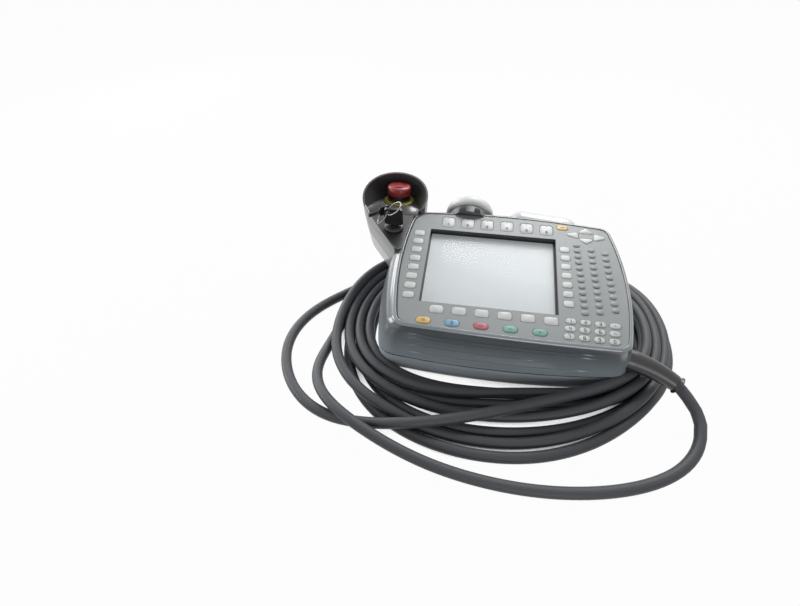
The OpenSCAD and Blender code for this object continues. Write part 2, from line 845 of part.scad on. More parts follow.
module puck_cap() {
    r = puck_d / 2;
    low = puck_base_top + puck_gap;
    color([0.62, 0.62, 0.62])
    placed() at_puck(low) difference() {
        rotate_extrude($fn = 96)
            polygon(concat([[0, 0], [r - 2, 0], [r, 2]],
                           [for (a = [0:15:90]) [r - 7 + 7 * cos(a), puck_t - 7 + 7 * sin(a)]],
                           [[0, puck_t]]));
        translate([0, 0, -1])
            cylinder(d = puck_neck_d + 2 * running, h = puck_t * 0.4 + 1 + running, $fn = 48);
    }
}

// ---- Lead outlet ----
module cable_gland() {
    color([0.12, 0.12, 0.13])
    placed() at_outlet() difference() {
        union() {
            translate([0, 0, -14]) cylinder(d = gland_d, h = 22, $fn = 48);
            translate([0, 0, -16]) cylinder(d = gland_d + 6, h = 6, $fn = 6);
        }
        translate([0, 0, -20]) cylinder(d = lead_d + 2, h = 40, $fn = 48);
    }
}

// A closed tube along points, with the radius at each of them
function tangent(p, i) = unit(p[min(i + 1, len(p) - 1)] - p[max(i - 1, 0)]);
function sideways(t) = unit(cross(t, [0, 0, 1]));
module tube(p, radii, sides = 12) {
    polyhedron(
        points = [for (i = [0:len(p) - 1])
            let (t = tangent(p, i), across = sideways(t), up = cross(across, t))
            each [for (k = [0:sides - 1])
                p[i] + radii[i] * (cos(360 * k / sides) * across + sin(360 * k / sides) * up)]],
        faces = concat(
            [[for (k = [sides - 1:-1:0]) k]],
            [[for (k = [0:sides - 1]) (len(p) - 1) * sides + k]],
            [for (i = [0:len(p) - 2], k = [0:sides - 1])
                let (a = i * sides + k, b = i * sides + (k + 1) % sides)
                each [[a, b, b + sides], [a, b + sides, a + sides]]]));
}

// ---- Strain relief: a ribbed sleeve that droops as it leaves the wall ----
sleeve_root_r = 13;
sleeve_tip_r = 9.5;
sleeve_ribs = 5;
rib_depth = 0.9;
sleeve_steps = 30;
// How much further the sleeve turns forwards and dips by its tip
sleeve_turn = 22;
sleeve_droop = 14;
function sleeve_dir(t) =
    let (yaw = outlet_yaw - sleeve_turn * t, dip = outlet_dip + sleeve_droop * t)
    [cos(yaw) * cos(dip), sin(yaw) * cos(dip), -sin(dip)];
sleeve_step = sleeve_l / sleeve_steps;
sleeve_path = [for (k = 0, p = outlet_at - 6 * sleeve_dir(0); k <= sleeve_steps;
                    p = p + sleeve_step * sleeve_dir(k / sleeve_steps), k = k + 1) p];
// The root is plain, the ribs lie between and the tip has a plain collar
function sleeve_r(t) =
    let (body = lerp(sleeve_root_r, sleeve_tip_r, max(0, (t - 0.2) / 0.8)),
         along = (t - 0.22) / 0.66 * sleeve_ribs)
    t > 0.22 && t < 0.88 && along - floor(along) > 0.5 ? body - rib_depth : body;

module strain_relief() {
    color([0.20, 0.19, 0.20])
    placed() difference() {
        tube(sleeve_path, [for (k = [0:sleeve_steps]) sleeve_r(k / sleeve_steps)]);
        at_outlet() translate([0, 0, -20]) cylinder(d = gland_d, h = 28, $fn = 48);
        front_form();
    }
}

// ---- Lead, in the frame of the floor ----
// The way from the sleeve's tip down to the floor, round the front and into the coil
lead_points = [[249, -132, 29], [257, -149, 21], [258, -171, 14], [248, -193, 9], [230, -213, 7],
               [201, -233, 7], [162, -249, 7], [115, -260, 7], [60, -265, 7], [5, -261, 7],
               [-45, -252, 8], [-95, -237, 14], [-135, -219, 21], [-165, -202, 22],
               [-188, -180, 20], [-202, -152, 15], [-206, -127, 9], [-201, -106, 7]];
// One loose turn that leaves the coil on the left and slips back under the lead
loose_points = [[-178, 34, 7], [-208, 8, 7], [-235, -22, 7], [-252, -58, 7], [-257, -96, 7],
                [-247, -135, 7], [-226, -170, 7], [-201, -194, 7], [-176, -207, 7],
                [-148, -211, 7], [-118, -204, 7]];
// The far end, behind the terminal
tail_points = [[-118, 95, 19], [-88, 118, 13], [-55, 138, 8], [-18, 157, 9], [18, 173, 13],
               [50, 185, 17], [76, 190, 19], [100, 190, 19]];
// Circles [x, y, radius] whose common outline is the coil's outer and inner edge
coil_outside = [[-88, -92, 118], [66, -72, 162], [96, -20, 160], [-62, -5, 124]];
coil_inside = [[-80, -83, 58], [130, -65, 76], [140, 10, 60], [-72, 0, 64]];

function on_floor(p) = [p[0], p[1], max(p[2], lead_d / 2)];
module lead_tube(points) {
    color([0.17, 0.17, 0.18])
    tube([for (p = points) on_floor(p)], [for (p = points) lead_d / 2]);
}
module control_cable() {
    tip = sleeve_path[sleeve_steps];
    tilt = [[1, 0, 0], [0, cos(lean), -sin(lean)], [0, sin(lean), cos(lean)]];
    lead_tube(concat([tilt * tip + [foot_shift[0], foot_shift[1], lift]], lead_points));
}
module cable_loose_turn() { lead_tube(loose_points); }
module cable_tail() { lead_tube(tail_points); }

module loop_outline(circles) {
    hull() for (c = circles) translate([c[0], c[1]]) circle(c[2], $fn = 72);
}
module cable_coil() {
    color([0.17, 0.17, 0.18])
    linear_extrude(coil_h) difference() {
        loop_outline(coil_outside);
        loop_outline(coil_inside);
    }
}

// ---- Connector on the far end, lying on its coupling ring ----
nose_d = 29;
nose_l = 22;
nose_wall = 2.5;
insert_depth = 12;
pin_l = 6;
pin_d = 2;
nut_d = 25;
nut_l = 16;
barrel_d = 31;
barrel_l = 34;
coupling_l = 20;
coupling_play = 0.05;
knurls = 20;
module at_connector() {
    end = tail_points[len(tail_points) - 1];
    translate([end[0], end[1], coupling_d / 2])
        rotate([0, 90, 0]) children();
}
// Where the barrel, the collar and the nose start, from the lead's end
barrel_start = nut_l;
nose_start = barrel_start + barrel_l;
module cable_connector() {
    color([0.72, 0.73, 0.74])
    at_connector() {
        difference() {
            union() {
                cylinder(d = nut_d, h = nut_l, $fn = 6);
                translate([0, 0, barrel_start - 4])
                    cylinder(d1 = nut_d - 2, d2 = barrel_d, h = 4, $fn = 64);
                translate([0, 0, barrel_start]) cylinder(d = barrel_d, h = barrel_l, $fn = 64);
                translate([0, 0, nose_start - 0.5]) cylinder(d = nose_d, h = nose_l + 0.5, $fn = 64);
            }
            translate([0, 0, nose_start + nose_l - insert_depth])
                cylinder(d = nose_d - 2 * nose_wall, h = insert_depth + 1, $fn = 48);
        }
        // Contact pins, a ring of eight round four
        for (ring = [[8, 7.5], [4, 3.2]], k = [0:ring[0] - 1])
            rotate([0, 0, 360 * k / ring[0]])
                translate([ring[1], 0, nose_start + nose_l - insert_depth - 1])
                    cylinder(d = pin_d, h = pin_l + 1, $fn = 16);
    }
}
module connector_ring() {
    color([0.60, 0.61, 0.62])
    at_connector() translate([0, 0, nose_start - coupling_l]) difference() {
        cylinder(d = coupling_d, h = coupling_l, $fn = 64);
        translate([0, 0, -1])
            cylinder(d = barrel_d + 2 * coupling_play, h = coupling_l + 2, $fn = 64);
        for (k = [0:knurls - 1])
            rotate([0, 0, 360 * (k + 0.5) / knurls])
                translate([coupling_d / 2 + 1.2, 0, 3])
                    cylinder(r = 2.2, h = coupling_l - 6, $fn = 16);
    }
}

module enter_key() { color([0.92, 0.75, 0.40]) key_cap(enter_shape); }
module arrow_key(i) { color([0.85, 0.86, 0.84]) key_cap(arrow_shapes[i]); }
module menu_key(i) { color([0.85, 0.86, 0.84]) key_cap(menu_keys[i]); }
module softkey(i) { color([0.85, 0.86, 0.84]) key_cap(soft_keys[i]); }
key_colours = [[0.92, 0.75, 0.40], [0.55, 0.72, 0.85], [0.83, 0.40, 0.44], [0.50, 0.75, 0.68],
               [0.50, 0.75, 0.68]];
module colour_key(i) { color(key_colours[i]) key_cap(colour_keys[i]); }
module left_status_keys() { color([0.85, 0.86, 0.84]) for (key = left_keys) key_cap(key); }
module right_status_keys() { color([0.85, 0.86, 0.84]) for (key = right_keys) key_cap(key); }
module numeric_keys() { color([0.85, 0.86, 0.84]) for (key = number_keys) key_cap(key); }

front_shell();
rear_shell();
shell_gasket();
keypad_overlay();
display_window();
display_module();
keypad_board();
housing_screws();
control_housing();
control_lid();
control_cover();
estop_cap();
estop_stem();
estop_ring();
estop_contact_block();
mode_lock_body();
mode_lock_barrel();
selector_key();
key_ring();
spare_key();
puck_base();
puck_carrier();
puck_cap();
enabling_switch(0);  // enabling_switch_left
enabling_switch(1);  // enabling_switch_middle
enabling_switch(2);  // enabling_switch_right
start_button();
cable_gland();
strain_relief();
control_cable();
cable_loose_turn();
cable_tail();
cable_coil();
cable_connector();
connector_ring();
enter_key();
left_status_keys();
right_status_keys();
numeric_keys();
arrow_names = ["left", "up", "right", "down"];
for (i = [0:3]) arrow_key(i);
for (i = [0:5]) menu_key(i);
for (i = [0:5]) softkey(i);
for (i = [0:4]) colour_key(i);
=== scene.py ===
"""Dresses the teach pendant: smooth mouldings, keys, screen, emergency stop, lead, floor, lamps and camera."""
from __future__ import annotations

import logging
import math
from dataclasses import dataclass, field
from enum import Enum
from typing import Sequence

import bmesh
import bpy
import numpy as np
from mathutils import Matrix, Vector
from mathutils.geometry import tessellate_polygon


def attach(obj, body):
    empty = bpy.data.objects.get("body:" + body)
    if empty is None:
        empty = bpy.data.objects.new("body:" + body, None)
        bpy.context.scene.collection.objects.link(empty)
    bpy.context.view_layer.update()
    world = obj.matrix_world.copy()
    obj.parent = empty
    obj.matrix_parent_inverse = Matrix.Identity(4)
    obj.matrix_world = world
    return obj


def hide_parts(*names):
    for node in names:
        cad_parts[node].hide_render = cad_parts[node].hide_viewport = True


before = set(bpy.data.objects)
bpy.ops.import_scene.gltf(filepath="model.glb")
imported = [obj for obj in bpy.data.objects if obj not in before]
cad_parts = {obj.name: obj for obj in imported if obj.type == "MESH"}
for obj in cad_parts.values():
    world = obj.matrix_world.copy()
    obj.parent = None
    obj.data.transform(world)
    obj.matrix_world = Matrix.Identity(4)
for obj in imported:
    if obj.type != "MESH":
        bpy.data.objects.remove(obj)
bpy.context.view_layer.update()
log = logging.getLogger("pendant")
Array = np.ndarray
MM = 0.001


# ---------------------------------------------------------------- numbers and shapes in the plane

def lerp(a: float | Array, b: float | Array, t: float | Array) -> float | Array:
    """A value between a and b: a at t = 0 and b at t = 1."""
    return a + (b - a) * t


def ease(t: float | Array) -> Array:
    """A smooth step from 0 to 1: 3t^2 - 2t^3, with t held between 0 and 1."""
    t = np.clip(t, 0.0, 1.0)
    return t * t * (3.0 - 2.0 * t)


def unit(v: Array) -> Array:
    """Vectors scaled to length one along their last axis."""
    return v / np.maximum(np.linalg.norm(v, axis=-1, keepdims=True), 1e-12)


def polar(centre: Sequence[float], r: float, degrees: Array) -> Array:
    """Points on a circle, as rows of x and y."""
    a = np.radians(degrees)
    return np.stack([centre[0] + r * np.cos(a), centre[1] + r * np.sin(a)], -1)


def heading(v: Array) -> float:
    """Direction of a plane vector in degrees."""
    return math.degrees(math.atan2(v[1], v[0]))


def wrap180(a: float) -> float:
    """An angle brought between -180 and 180 degrees."""
    return a - 360.0 * round(a / 360.0)


def quarter(steps: int) -> Array:
    """Angles in radians, at even steps over a quarter turn, for a rounded edge."""
    return np.radians(np.linspace(0, 90, steps))


def rounded(centres: Array, r: float, steps: int = 6) -> Array:
    """The outline round a convex row of circle centres, anticlockwise.

    Each corner's arc runs from the normal of the side before it to that of the side after it.

    Args:
        centres: corner centres in order, in mm.
        r: radius round each of them.
        steps: chords in each corner's arc.

    Returns:
        The outline's points, one row each.
    """
    n, out = len(centres), []
    for i in range(n):
        into = heading(centres[i] - centres[i - 1]) - 90.0
        away = heading(centres[(i + 1) % n] - centres[i]) - 90.0
        out.append(polar(centres[i], r, into + (away - into) % 360.0 * np.linspace(0, 1, steps + 1)))
    return np.concatenate(out)


def box_corners(w: float, h: float, r: float) -> Array:
    """Corner centres of a rounded box, anticlockwise from the lower left."""
    return np.array([[r - w / 2, r - h / 2], [w / 2 - r, r - h / 2],
                     [w / 2 - r, h / 2 - r], [r - w / 2, h / 2 - r]])


def rounded_box(w: float, h: float, r: float, steps: int = 6) -> Array:
    """The outline of a box with round corners."""
    return rounded(box_corners(w, h, r), r, steps)


def arrow_corners(length: float, base: float, r: float, turn: float) -> Array:
    """Corner centres of an arrow key.

    Args:
        length: from the arrow's base to its tip, in mm.
        base: width of its base.
        r: radius of its corners.
        turn: how far it is turned, in degrees; at 0 it points right.

    Returns:
        The tip's centre and the two base centres, one row each.
    """
    p = np.array([[length / 2 - 1.4 * r, 0], [r - length / 2, base / 2 - r],
                  [r - length / 2, r - base / 2]])
    a = math.radians(turn)
    return p @ np.array([[math.cos(a), math.sin(a)], [-math.sin(a), math.cos(a)]])


def lifted(plan: Array, z: float | Array) -> Array:
    """A plan outline given heights, as x, y, z rows."""
    return np.concatenate([plan, np.broadcast_to(np.asarray(z, float), plan.shape[:-1])[..., None]], -1)


# ---------------------------------------------------------------- the frame of the panel

@dataclass(frozen=True)
class Stance:
    """How the panel's own frame lies in the row frame."""

    lean: float = 10.0
    shift: tuple[float, float] = (3.2, -29.5)
    lift: float = 112.929

    def turn(self) -> Array:
        """The rotation from the panel's frame to the row frame."""
        a = math.radians(self.lean)
        return np.array([[1, 0, 0], [0, math.cos(a), -math.sin(a)], [0, math.sin(a), math.cos(a)]])

    def row(self, p: Array | Sequence[Array]) -> Array:
        """Panel points in mm, as row points in metres: turned by the lean, then moved."""
        return (np.asarray(p) @ self.turn().T + np.array([*self.shift, self.lift])) * MM


STANCE = Stance()


# ---------------------------------------------------------------- meshes

class Cap(Enum):
    """How the end of a grid is shut."""

    OPEN = 0
    FLAT = 1
    POLE = 2


class Form:
    """Points and faces of one piece while it is worked out, in row metres."""

    def __init__(self) -> None:
        """Starts empty."""
        self.points: list[Array] = []
        self.faces: list[Array] = []
        self.patterns: list[Array] = []
        self.count = 0

    def _add(self, points: Array, faces: Sequence[Array], patterns: Sequence[Array]) -> None:
        """Appends points and faces.

        Args:
            points: the points' places.
            faces: groups of faces with indices that start at these points.
            patterns: the pattern's map of each group.
        """
        self.faces += [f + self.count for f in faces]
        self.patterns += patterns
        self.points.append(points)
        self.count += len(points)

    def grid(self, p: Array, low: Cap = Cap.OPEN, high: Cap = Cap.OPEN, wrap: bool = True,
             reach: tuple[float, float] = (1.0, 1.0)) -> Form:
        """Adds a grid of rings as quads.

        Args:
            p: points, ring by ring, anticlockwise when the rings rise towards the viewer.
            low: how the first ring is shut.
            high: how the last ring is shut.
            wrap: whether each ring closes on itself.
            reach: size of the pattern's map along the rings and round them.

        Returns:
            The form itself.
        """
        rows, n = p.shape[:2]
        j, k = np.meshgrid(np.arange(rows - 1), np.arange(n if wrap else n - 1), indexing="ij")
        a, b = j * n + k, j * n + (k + 1) % n
        quads = np.stack([a, b, b + n, a + n], -1).reshape(-1, 4)
        u0, u1 = j / (rows - 1) * reach[0], (j + 1) / (rows - 1) * reach[0]
        v0, v1 = k / n * reach[1], (k + 1) / n * reach[1]
        uv = np.stack([u0, v0, u0, v1, u1, v1, u1, v0], -1).reshape(-1, 4, 2)
        points, faces, maps = [p.reshape(-1, 3)], [quads], [uv]
        extra = rows * n
        ring = np.arange(n)
        for cap, start, flip in ((low, 0, True), (high, (rows - 1) * n, False)):
            if cap is Cap.FLAT:
                loop = start + (ring[::-1] if flip else ring)
                faces.append(loop[None])
                maps.append(np.zeros((1, n, 2)))
            elif cap is Cap.POLE:
                around = np.stack([start + ring, start + (ring + 1) % n, np.full(n, extra)], -1)
                faces.append(around[:, ::-1] if flip else around)
                maps.append(np.zeros((n, 3, 2)))
                points.append(p[0 if flip else -1].mean(0, keepdims=True))
                extra += 1
        self._add(np.concatenate(points), faces, maps)
        return self

    def stack(self, rings: Sequence[Array], low: Cap = Cap.OPEN, high: Cap = Cap.OPEN) -> Form:
        """Adds a grid whose rings are given in the panel's frame."""
        return self.grid(STANCE.row(rings), low, high)

    def belt(self, rings: Sequence[Array]) -> Form:
        """Adds rings of the panel's frame whose last one is joined to the first, as a closed band."""
        return self.stack([*rings, rings[0]])

    def flat(self, loops: Sequence[Array], z: float) -> None:
        """Adds a flat face with holes, at a height of the panel's frame.

        Args:
            loops: outlines in mm: the first is the face's edge, the others are holes.
            z: the face's height in mm.
        """
        loops = [STANCE.row(lifted(p, z)) for p in loops]
        joined = np.concatenate(loops)
        tris = np.array(tessellate_polygon([[Vector(q) for q in loop] for loop in loops]), int)
        a, b, c = (joined[tris[:, i]] for i in range(3))
        span = np.linalg.norm(np.cross(b - a, c - a), axis=1)
        tris = tris[span > 1e-12]
        self._add(joined, [tris], [np.zeros((*tris.shape, 2))])

    def mesh(self, name: str, merge: float) -> bpy.types.Mesh:
        """The finished mesh, with its doubles merged and its faces turned outwards.

        Args:
            name: the mesh's name.
            merge: distance under which points become one, in metres.

        Returns:
            The mesh, with its pattern's map.
        """
        data = bpy.data.meshes.new(name)
        points = np.concatenate(self.points)
        data.vertices.add(len(points))
        data.vertices.foreach_set("co", points.astype(np.float32).ravel())
        sizes = np.concatenate([np.full(len(f), f.shape[1]) for f in self.faces])
        loops = np.concatenate([f.ravel() for f in self.faces])
        data.loops.add(len(loops))
        data.loops.foreach_set("vertex_index", loops.astype(np.int32))
        data.polygons.add(len(sizes))
        data.polygons.foreach_set("loop_start", np.r_[0, np.cumsum(sizes)[:-1]].astype(np.int32))
        data.uv_layers.new(name="UVMap").data.foreach_set(
            "uv", np.concatenate([m.ravel() for m in self.patterns]).astype(np.float32))
        data.update(calc_edges=True)
        work = bmesh.new()
        work.from_mesh(data)
        bmesh.ops.remove_doubles(work, verts=work.verts, dist=merge)
        bmesh.ops.recalc_face_normals(work, faces=work.faces)
        work.to_mesh(data)
        work.free()
        return data


def hose(line: Array, radii: Array, sides: int) -> Array:
    """The rings of a round hose: each one stands across the line's direction at its own radius.

    Args:
        line: the hose's middle, one row a ring.
        radii: the radius at each ring.
        sides: points round each ring.

    Returns:
        The rings' points, as rings by sides by 3.
    """
    ahead = unit(np.gradient(line, axis=0))
    across = unit(np.cross(ahead, [0, 0, 1]))
    up = np.cross(across, ahead)
    angle = np.linspace(0, 2 * np.pi, sides, endpoint=False)[None, :, None]
    outwards = np.cos(angle) * across[:, None] + np.sin(angle) * up[:, None]
    return line[:, None] + radii[:, None, None] * outwards


def smooth_line(p: Array, steps: int = 24) -> Array:
    """A Catmull-Rom line through points: each span is a cubic with the neighbours' direction at its ends.

    Args:
        p: the points, one row each.
        steps: points of the line in each span.

    Returns:
        The line's points, one row each.
    """
    q = np.vstack([2 * p[0] - p[1], p, 2 * p[-1] - p[-2]])
    t = np.linspace(0, 1, steps, endpoint=False)[None, :, None]
    a, b, c, d = q[:-3, None], q[1:-2, None], q[2:-1, None], q[3:, None]
    line = 0.5 * (2 * b + (c - a) * t + (2 * a - 5 * b + 4 * c - d) * t ** 2 + (3 * b - 3 * c + d - a) * t ** 3)
    return np.vstack([line.reshape(-1, 3), p[-1:]])


def place(name: str, shape: Form | bpy.types.Mesh, finish: bpy.types.Material, slot: str,
          covers: Sequence[str] = (), sharp: float = 38.0, body: str = "housing",
          merge: float = 1e-7) -> bpy.types.Object:
    """Puts a form or a finished mesh into the scene as a smooth-shaded piece.

    Args:
        name: the piece's name.
        shape: its form or mesh, in row metres.
        finish: its material.
        slot: not used.
        covers: CAD nodes that it stands for.
        sharp: angle over which edges stay sharp, in degrees.
        body: the body that it rides on.
        merge: distance under which a form's points become one, in metres.

    Returns:
        The new object.
    """
    data = shape.mesh(name, merge) if isinstance(shape, Form) else shape
    data.polygons.foreach_set("use_smooth", np.ones(len(data.polygons), bool))
    data.set_sharp_from_angle(angle=math.radians(sharp))
    data.update()
    data.materials.clear()
    data.materials.append(finish)
    piece = bpy.data.objects.new(name, data)
    bpy.context.scene.collection.objects.link(piece)
    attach(piece, body)
    if covers:
        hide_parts(*covers)
    log.info("%s: %d faces on %s", name, len(data.polygons), body)
    return piece


def smooth_copy(node: str, finish: bpy.types.Material, slot: str, body: str = "housing") -> bpy.types.Object:
    """A copy of a CAD node with its doubles merged, its flat parts joined and its curved faces shaded smooth.

    Args:
        node: the CAD node.
        finish: the copy's material.
        slot: a slot name, passed on to place.
        body: the body that it rides on.

    Returns:
        The new object.
    """
    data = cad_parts[node].data.copy()
    work = bmesh.new()
    work.from_mesh(data)
    bmesh.ops.remove_doubles(work, verts=work.verts, dist=2e-6)
    bmesh.ops.dissolve_limit(work, angle_limit=math.radians(0.4), verts=work.verts, edges=work.edges)
    work.to_mesh(data)
    work.free()
    return place(node + "_skin", data, finish, slot, (node,), 32.0, body)


def dress(node: str, finish: bpy.types.Material) -> None:
    """Gives a CAD node that stays in sight its material.

    Args:
        node: the CAD node.
        finish: its material, for every slot that it has.
    """
    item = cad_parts[node]
    for slot in item.material_slots:
        slot.material = finish
    if not item.material_slots:
        item.data.materials.append(finish)


# ---------------------------------------------------------------- shader maths

class Wire:
    """A value socket of a shader, with arithmetic that adds Math nodes."""

    def __init__(self, bench: Bench, socket: bpy.types.NodeSocket) -> None:
        """Wraps one output socket of a bench's tree."""
        self.bench, self.socket = bench, socket

    def _math(self, operation: str, a: Wire | float, b: Wire | float) -> Wire:
        """A Math node on two values or wires."""
        return self.bench.wire("ShaderNodeMath", {"operation": operation}, {0: a, 1: b})

    def __add__(self, other: Wire | float) -> Wire:
        """Sum."""
        return self._math("ADD", self, other)

    __radd__ = __add__

    def __sub__(self, other: Wire | float) -> Wire:
        """Difference."""
        return self._math("SUBTRACT", self, other)

    def __rsub__(self, other: Wire | float) -> Wire:
        """Reflected difference."""
        return self._math("SUBTRACT", other, self)

    def __mul__(self, other: Wire | float) -> Wire:
        """Product."""
        return self._math("MULTIPLY", self, other)

    __rmul__ = __mul__

    def step(self, low: float, high: float) -> Wire:
        """A smooth step from 0 at low to 1 at high."""
        return self.bench.wire("ShaderNodeMapRange", {"interpolation_type": "SMOOTHSTEP"},
                               {"Value": self, "From Min": low, "From Max": high})


Colour = tuple[float, float, float, float]


def linear(colour: Sequence[float]) -> Colour:
    """A screen colour from 0 to 255, as a linear colour with alpha."""
    c = [v / 255.0 for v in colour]
    return (*[v / 12.92 if v <= 0.04045 else ((v + 0.055) / 1.055) ** 2.4 for v in c], 1.0)


def tinted(colour: Colour, factor: float) -> Colour:
    """A linear colour made darker or lighter, held at 1."""
    return (*[min(1.0, c * factor) for c in colour[:3]], 1.0)


class Bench:
    """A node tree while it is wired."""

    def __init__(self, tree: bpy.types.NodeTree) -> None:
        """Starts with the tree empty."""
        self.tree = tree
        tree.nodes.clear()

    def feed(self, socket: bpy.types.NodeSocket, value: Wire | float | Sequence[float]) -> None:
        """Links a wire to an input socket, or sets the socket's own value.

        Args:
            socket: the input socket.
            value: what goes into it.
        """
        if isinstance(value, Wire):
            self.tree.links.new(value.socket, socket)
        else:
            socket.default_value = value

    def node(self, kind: str, settings: dict | None = None, inputs: dict | None = None) -> bpy.types.Node:
        """Adds a node.

        Args:
            kind: its type.
            settings: its own settings, set first.
            inputs: values or wires for its sockets, by index or name.

        Returns:
            The node.
        """
        node = self.tree.nodes.new(kind)
        for key, value in (settings or {}).items():
            setattr(node, key, value)
        for key, value in (inputs or {}).items():
            self.feed(node.inputs[key], value)
        return node

    def wire(self, kind: str, settings: dict | None = None, inputs: dict | None = None,
             out: int | str = 0) -> Wire:
        """Adds a node and gives one of its outputs, by index or name."""
        return Wire(self, self.node(kind, settings, inputs).outputs[out])

    def coords(self, source: str = "Object", scale: Sequence[float] = (1, 1, 1)) -> Wire:
        """Texture coordinates, scaled by a Mapping node."""
        raw = self.wire("ShaderNodeTexCoord", out=source)
        return self.wire("ShaderNodeMapping", None, {"Vector": raw, "Scale": scale})

    def noise(self, where: Wire, scale: float, detail: float = 3.0, rough: float = 0.55) -> Wire:
        """A noise value round 0.5."""
        return self.wire("ShaderNodeTexNoise", None,
                         {"Vector": where, "Scale": scale, "Detail": detail, "Roughness": rough})

    def mix(self, a: Wire | Colour, b: Wire | Colour, factor: Wire | float) -> Wire:
        """A colour between two colours or colour wires."""
        return self.wire("ShaderNodeMix", {"data_type": "RGBA"}, {0: factor, 6: a, 7: b}, 2)

    def seen(self) -> Wire:
        """One where a camera, glossy or see-through ray looks, otherwise zero.

        Returns:
            The sum of the three, held at one.
        """
        path = self.node("ShaderNodeLightPath").outputs
        rays = [Wire(self, path[f"Is {name} Ray"]) for name in ("Camera", "Glossy", "Transmission")]
        return self.wire("ShaderNodeClamp", None, {0: rays[0] + rays[1] + rays[2]})


class Coating(Bench):
    """The node tree of one material round its Principled shader."""

    def __init__(self, name: str) -> None:
        """Starts a material with a Principled shader and an output.

        Args:
            name: the material's name.
        """
        self.material = bpy.data.materials.new(name)
        self.material.use_nodes = True
        super().__init__(self.material.node_tree)
        self.shader = self.node("ShaderNodeBsdfPrincipled")
        self.surface = Wire(self, self.shader.outputs[0])
        self.output = self.node("ShaderNodeOutputMaterial", None, {"Surface": self.surface})

    def set(self, **values: Wire | float | Sequence[float]) -> None:
        """Sets or wires sockets of the Principled shader; underscores stand for spaces."""
        for key, value in values.items():
            self.feed(self.shader.inputs[key.replace("_", " ")], value)

    def bump(self, height: Wire, depth: float, strength: float) -> None:
        """Gives the shader a bump from a height, whose full range is depth in mm."""
        self.set(Normal=self.wire("ShaderNodeBump", None, {"Height": height, "Distance": depth * MM,
                                                           "Strength": strength}))


# ---------------------------------------------------------------- finishes

@dataclass(frozen=True)
class Moulding:
    """Moulded plastic: a spark-eroded grain, a slow change of shade, rubbed gloss and fine dust.

    With a painted shading factor other than 1, the colour is multiplied by it below the height low and left as
    it is above high: painted light where it is over 1, painted shade where it is under 1.
    """

    name: str
    colour: tuple[int, int, int]
    rough: float = 0.42
    grain: float = 0.6
    relief: float = 0.03
    mottle: float = 0.06
    coat: float = 0.0
    dust: float = 0.04
    spec: float = 0.5
    sheen: float = 0.0
    painted_shading: float = 1.0
    low: float = 0.035
    high: float = 0.095
    dust_colour: tuple[int, int, int] = (205, 203, 198)

    def make(self) -> bpy.types.Material:
        """The material: noise on Object coordinates drives shade, gloss, dust and bump.

        Returns:
            The finished material.
        """
        b = Coating(self.name)
        at = b.coords()
        slow = b.noise(at, 22.0)
        smears = b.noise(b.coords("Object", (1.0, 1.0, 0.35)), 90.0, 5.0, 0.65)
        fine = b.noise(at, 1000.0 / self.grain, 2.0)
        pits = b.wire("ShaderNodeTexVoronoi", None, {"Vector": at, "Scale": 700.0 / self.grain}, "Distance")
        base, swing = linear(self.colour), self.mottle * 2.2
        shade = b.mix(tinted(base, 1 - swing), tinted(base, 1 + swing), slow * 0.6 + fine * 0.4)
        # Painted light and shade by height: the colour is scaled by the factor below the height low and eased
        # back to itself at the height high.
        if self.painted_shading != 1.0:
            height = b.wire("ShaderNodeSeparateXYZ", None, {0: at}, 2)
            shade = b.mix(tinted(base, self.painted_shading), shade, height.step(self.low, self.high) * 0.9 + slow * 0.1)
        specks = b.noise(at, 650.0, 2.0, 0.7).step(0.66, 0.74) * self.dust
        b.set(Base_Color=b.mix(shade, linear(self.dust_colour), specks),
              Roughness=self.rough - 0.10 * (smears - 0.5) + 0.08 * fine + specks,
              Specular_IOR_Level=self.spec, Coat_Weight=self.coat, Coat_Roughness=0.14,
              Sheen_Weight=self.sheen, Sheen_Roughness=0.3)
        b.bump(fine * 0.6 + pits * 0.5, self.relief, 0.6)
        return b.material


@dataclass(frozen=True)
class KeyPlastic:
    """A translucent key cap: satin skin, a slow change of shade and a faint cast of its colour."""

    name: str
    colour: tuple[int, int, int]
    rough: float = 0.34
    skin: float = 0.0012

    def make(self) -> bpy.types.Material:
        """The material: a slow noise on Object coordinates between the colour and a deeper one.

        Returns:
            The finished material.
        """
        b = Coating(self.name)
        at = b.coords()
        slow, fine = b.noise(at, 60.0, 2.0), b.noise(at, 2600.0, 2.0)
        base = linear(self.colour)
        b.set(Base_Color=b.mix(tinted(base, 0.86), base, slow.step(0.25, 0.7)),
              Roughness=self.rough + 0.12 * fine, Subsurface_Weight=0.08, Subsurface_Radius=(self.skin,) * 3)
        b.bump(fine, 0.012, 0.5)
        return b.material


@dataclass(frozen=True)
class Sheath:
    """The lead's oil-proof sheath: lengthwise extrusion lines, a dusty top and rubbed spots."""

    name: str = "lead sheath"
    colour: tuple[int, int, int] = (62, 64, 68)
    dust_colour: tuple[int, int, int] = (150, 150, 152)
    rough: float = 0.42
    spec: float = 0.42

    def make(self) -> bpy.types.Material:
        """The material: lines follow the piece's own map, dust and scuffs follow its place.

        Returns:
            The finished material.
        """
        b = Coating(self.name)
        at = b.coords()
        lines = b.noise(b.coords("UV", (0.6, 34.0, 1.0)), 1.0, 3.0, 0.6)
        slow = b.noise(at, 9.0)
        scuffs = b.noise(at, 130.0, 6.0, 0.7).step(0.60, 0.78)
        fine = b.noise(at, 1500.0, 2.0)
        up = b.wire("ShaderNodeSeparateXYZ", None, {0: b.wire("ShaderNodeNewGeometry", out="Normal")}, 2)
        dust = up.step(0.45, 1.0) * (0.07 + 0.12 * slow) + scuffs * 0.08
        base = linear(self.colour)
        shade = b.mix(tinted(base, 0.78), tinted(base, 1.22), slow * 0.5 + lines * 0.5)
        b.set(Base_Color=b.mix(shade, linear(self.dust_colour), dust),
              Roughness=self.rough + 0.16 * fine + dust * 0.6, Specular_IOR_Level=self.spec)
        b.bump(lines * 0.7 + fine * 0.3, 0.06, 0.5)
        return b.material


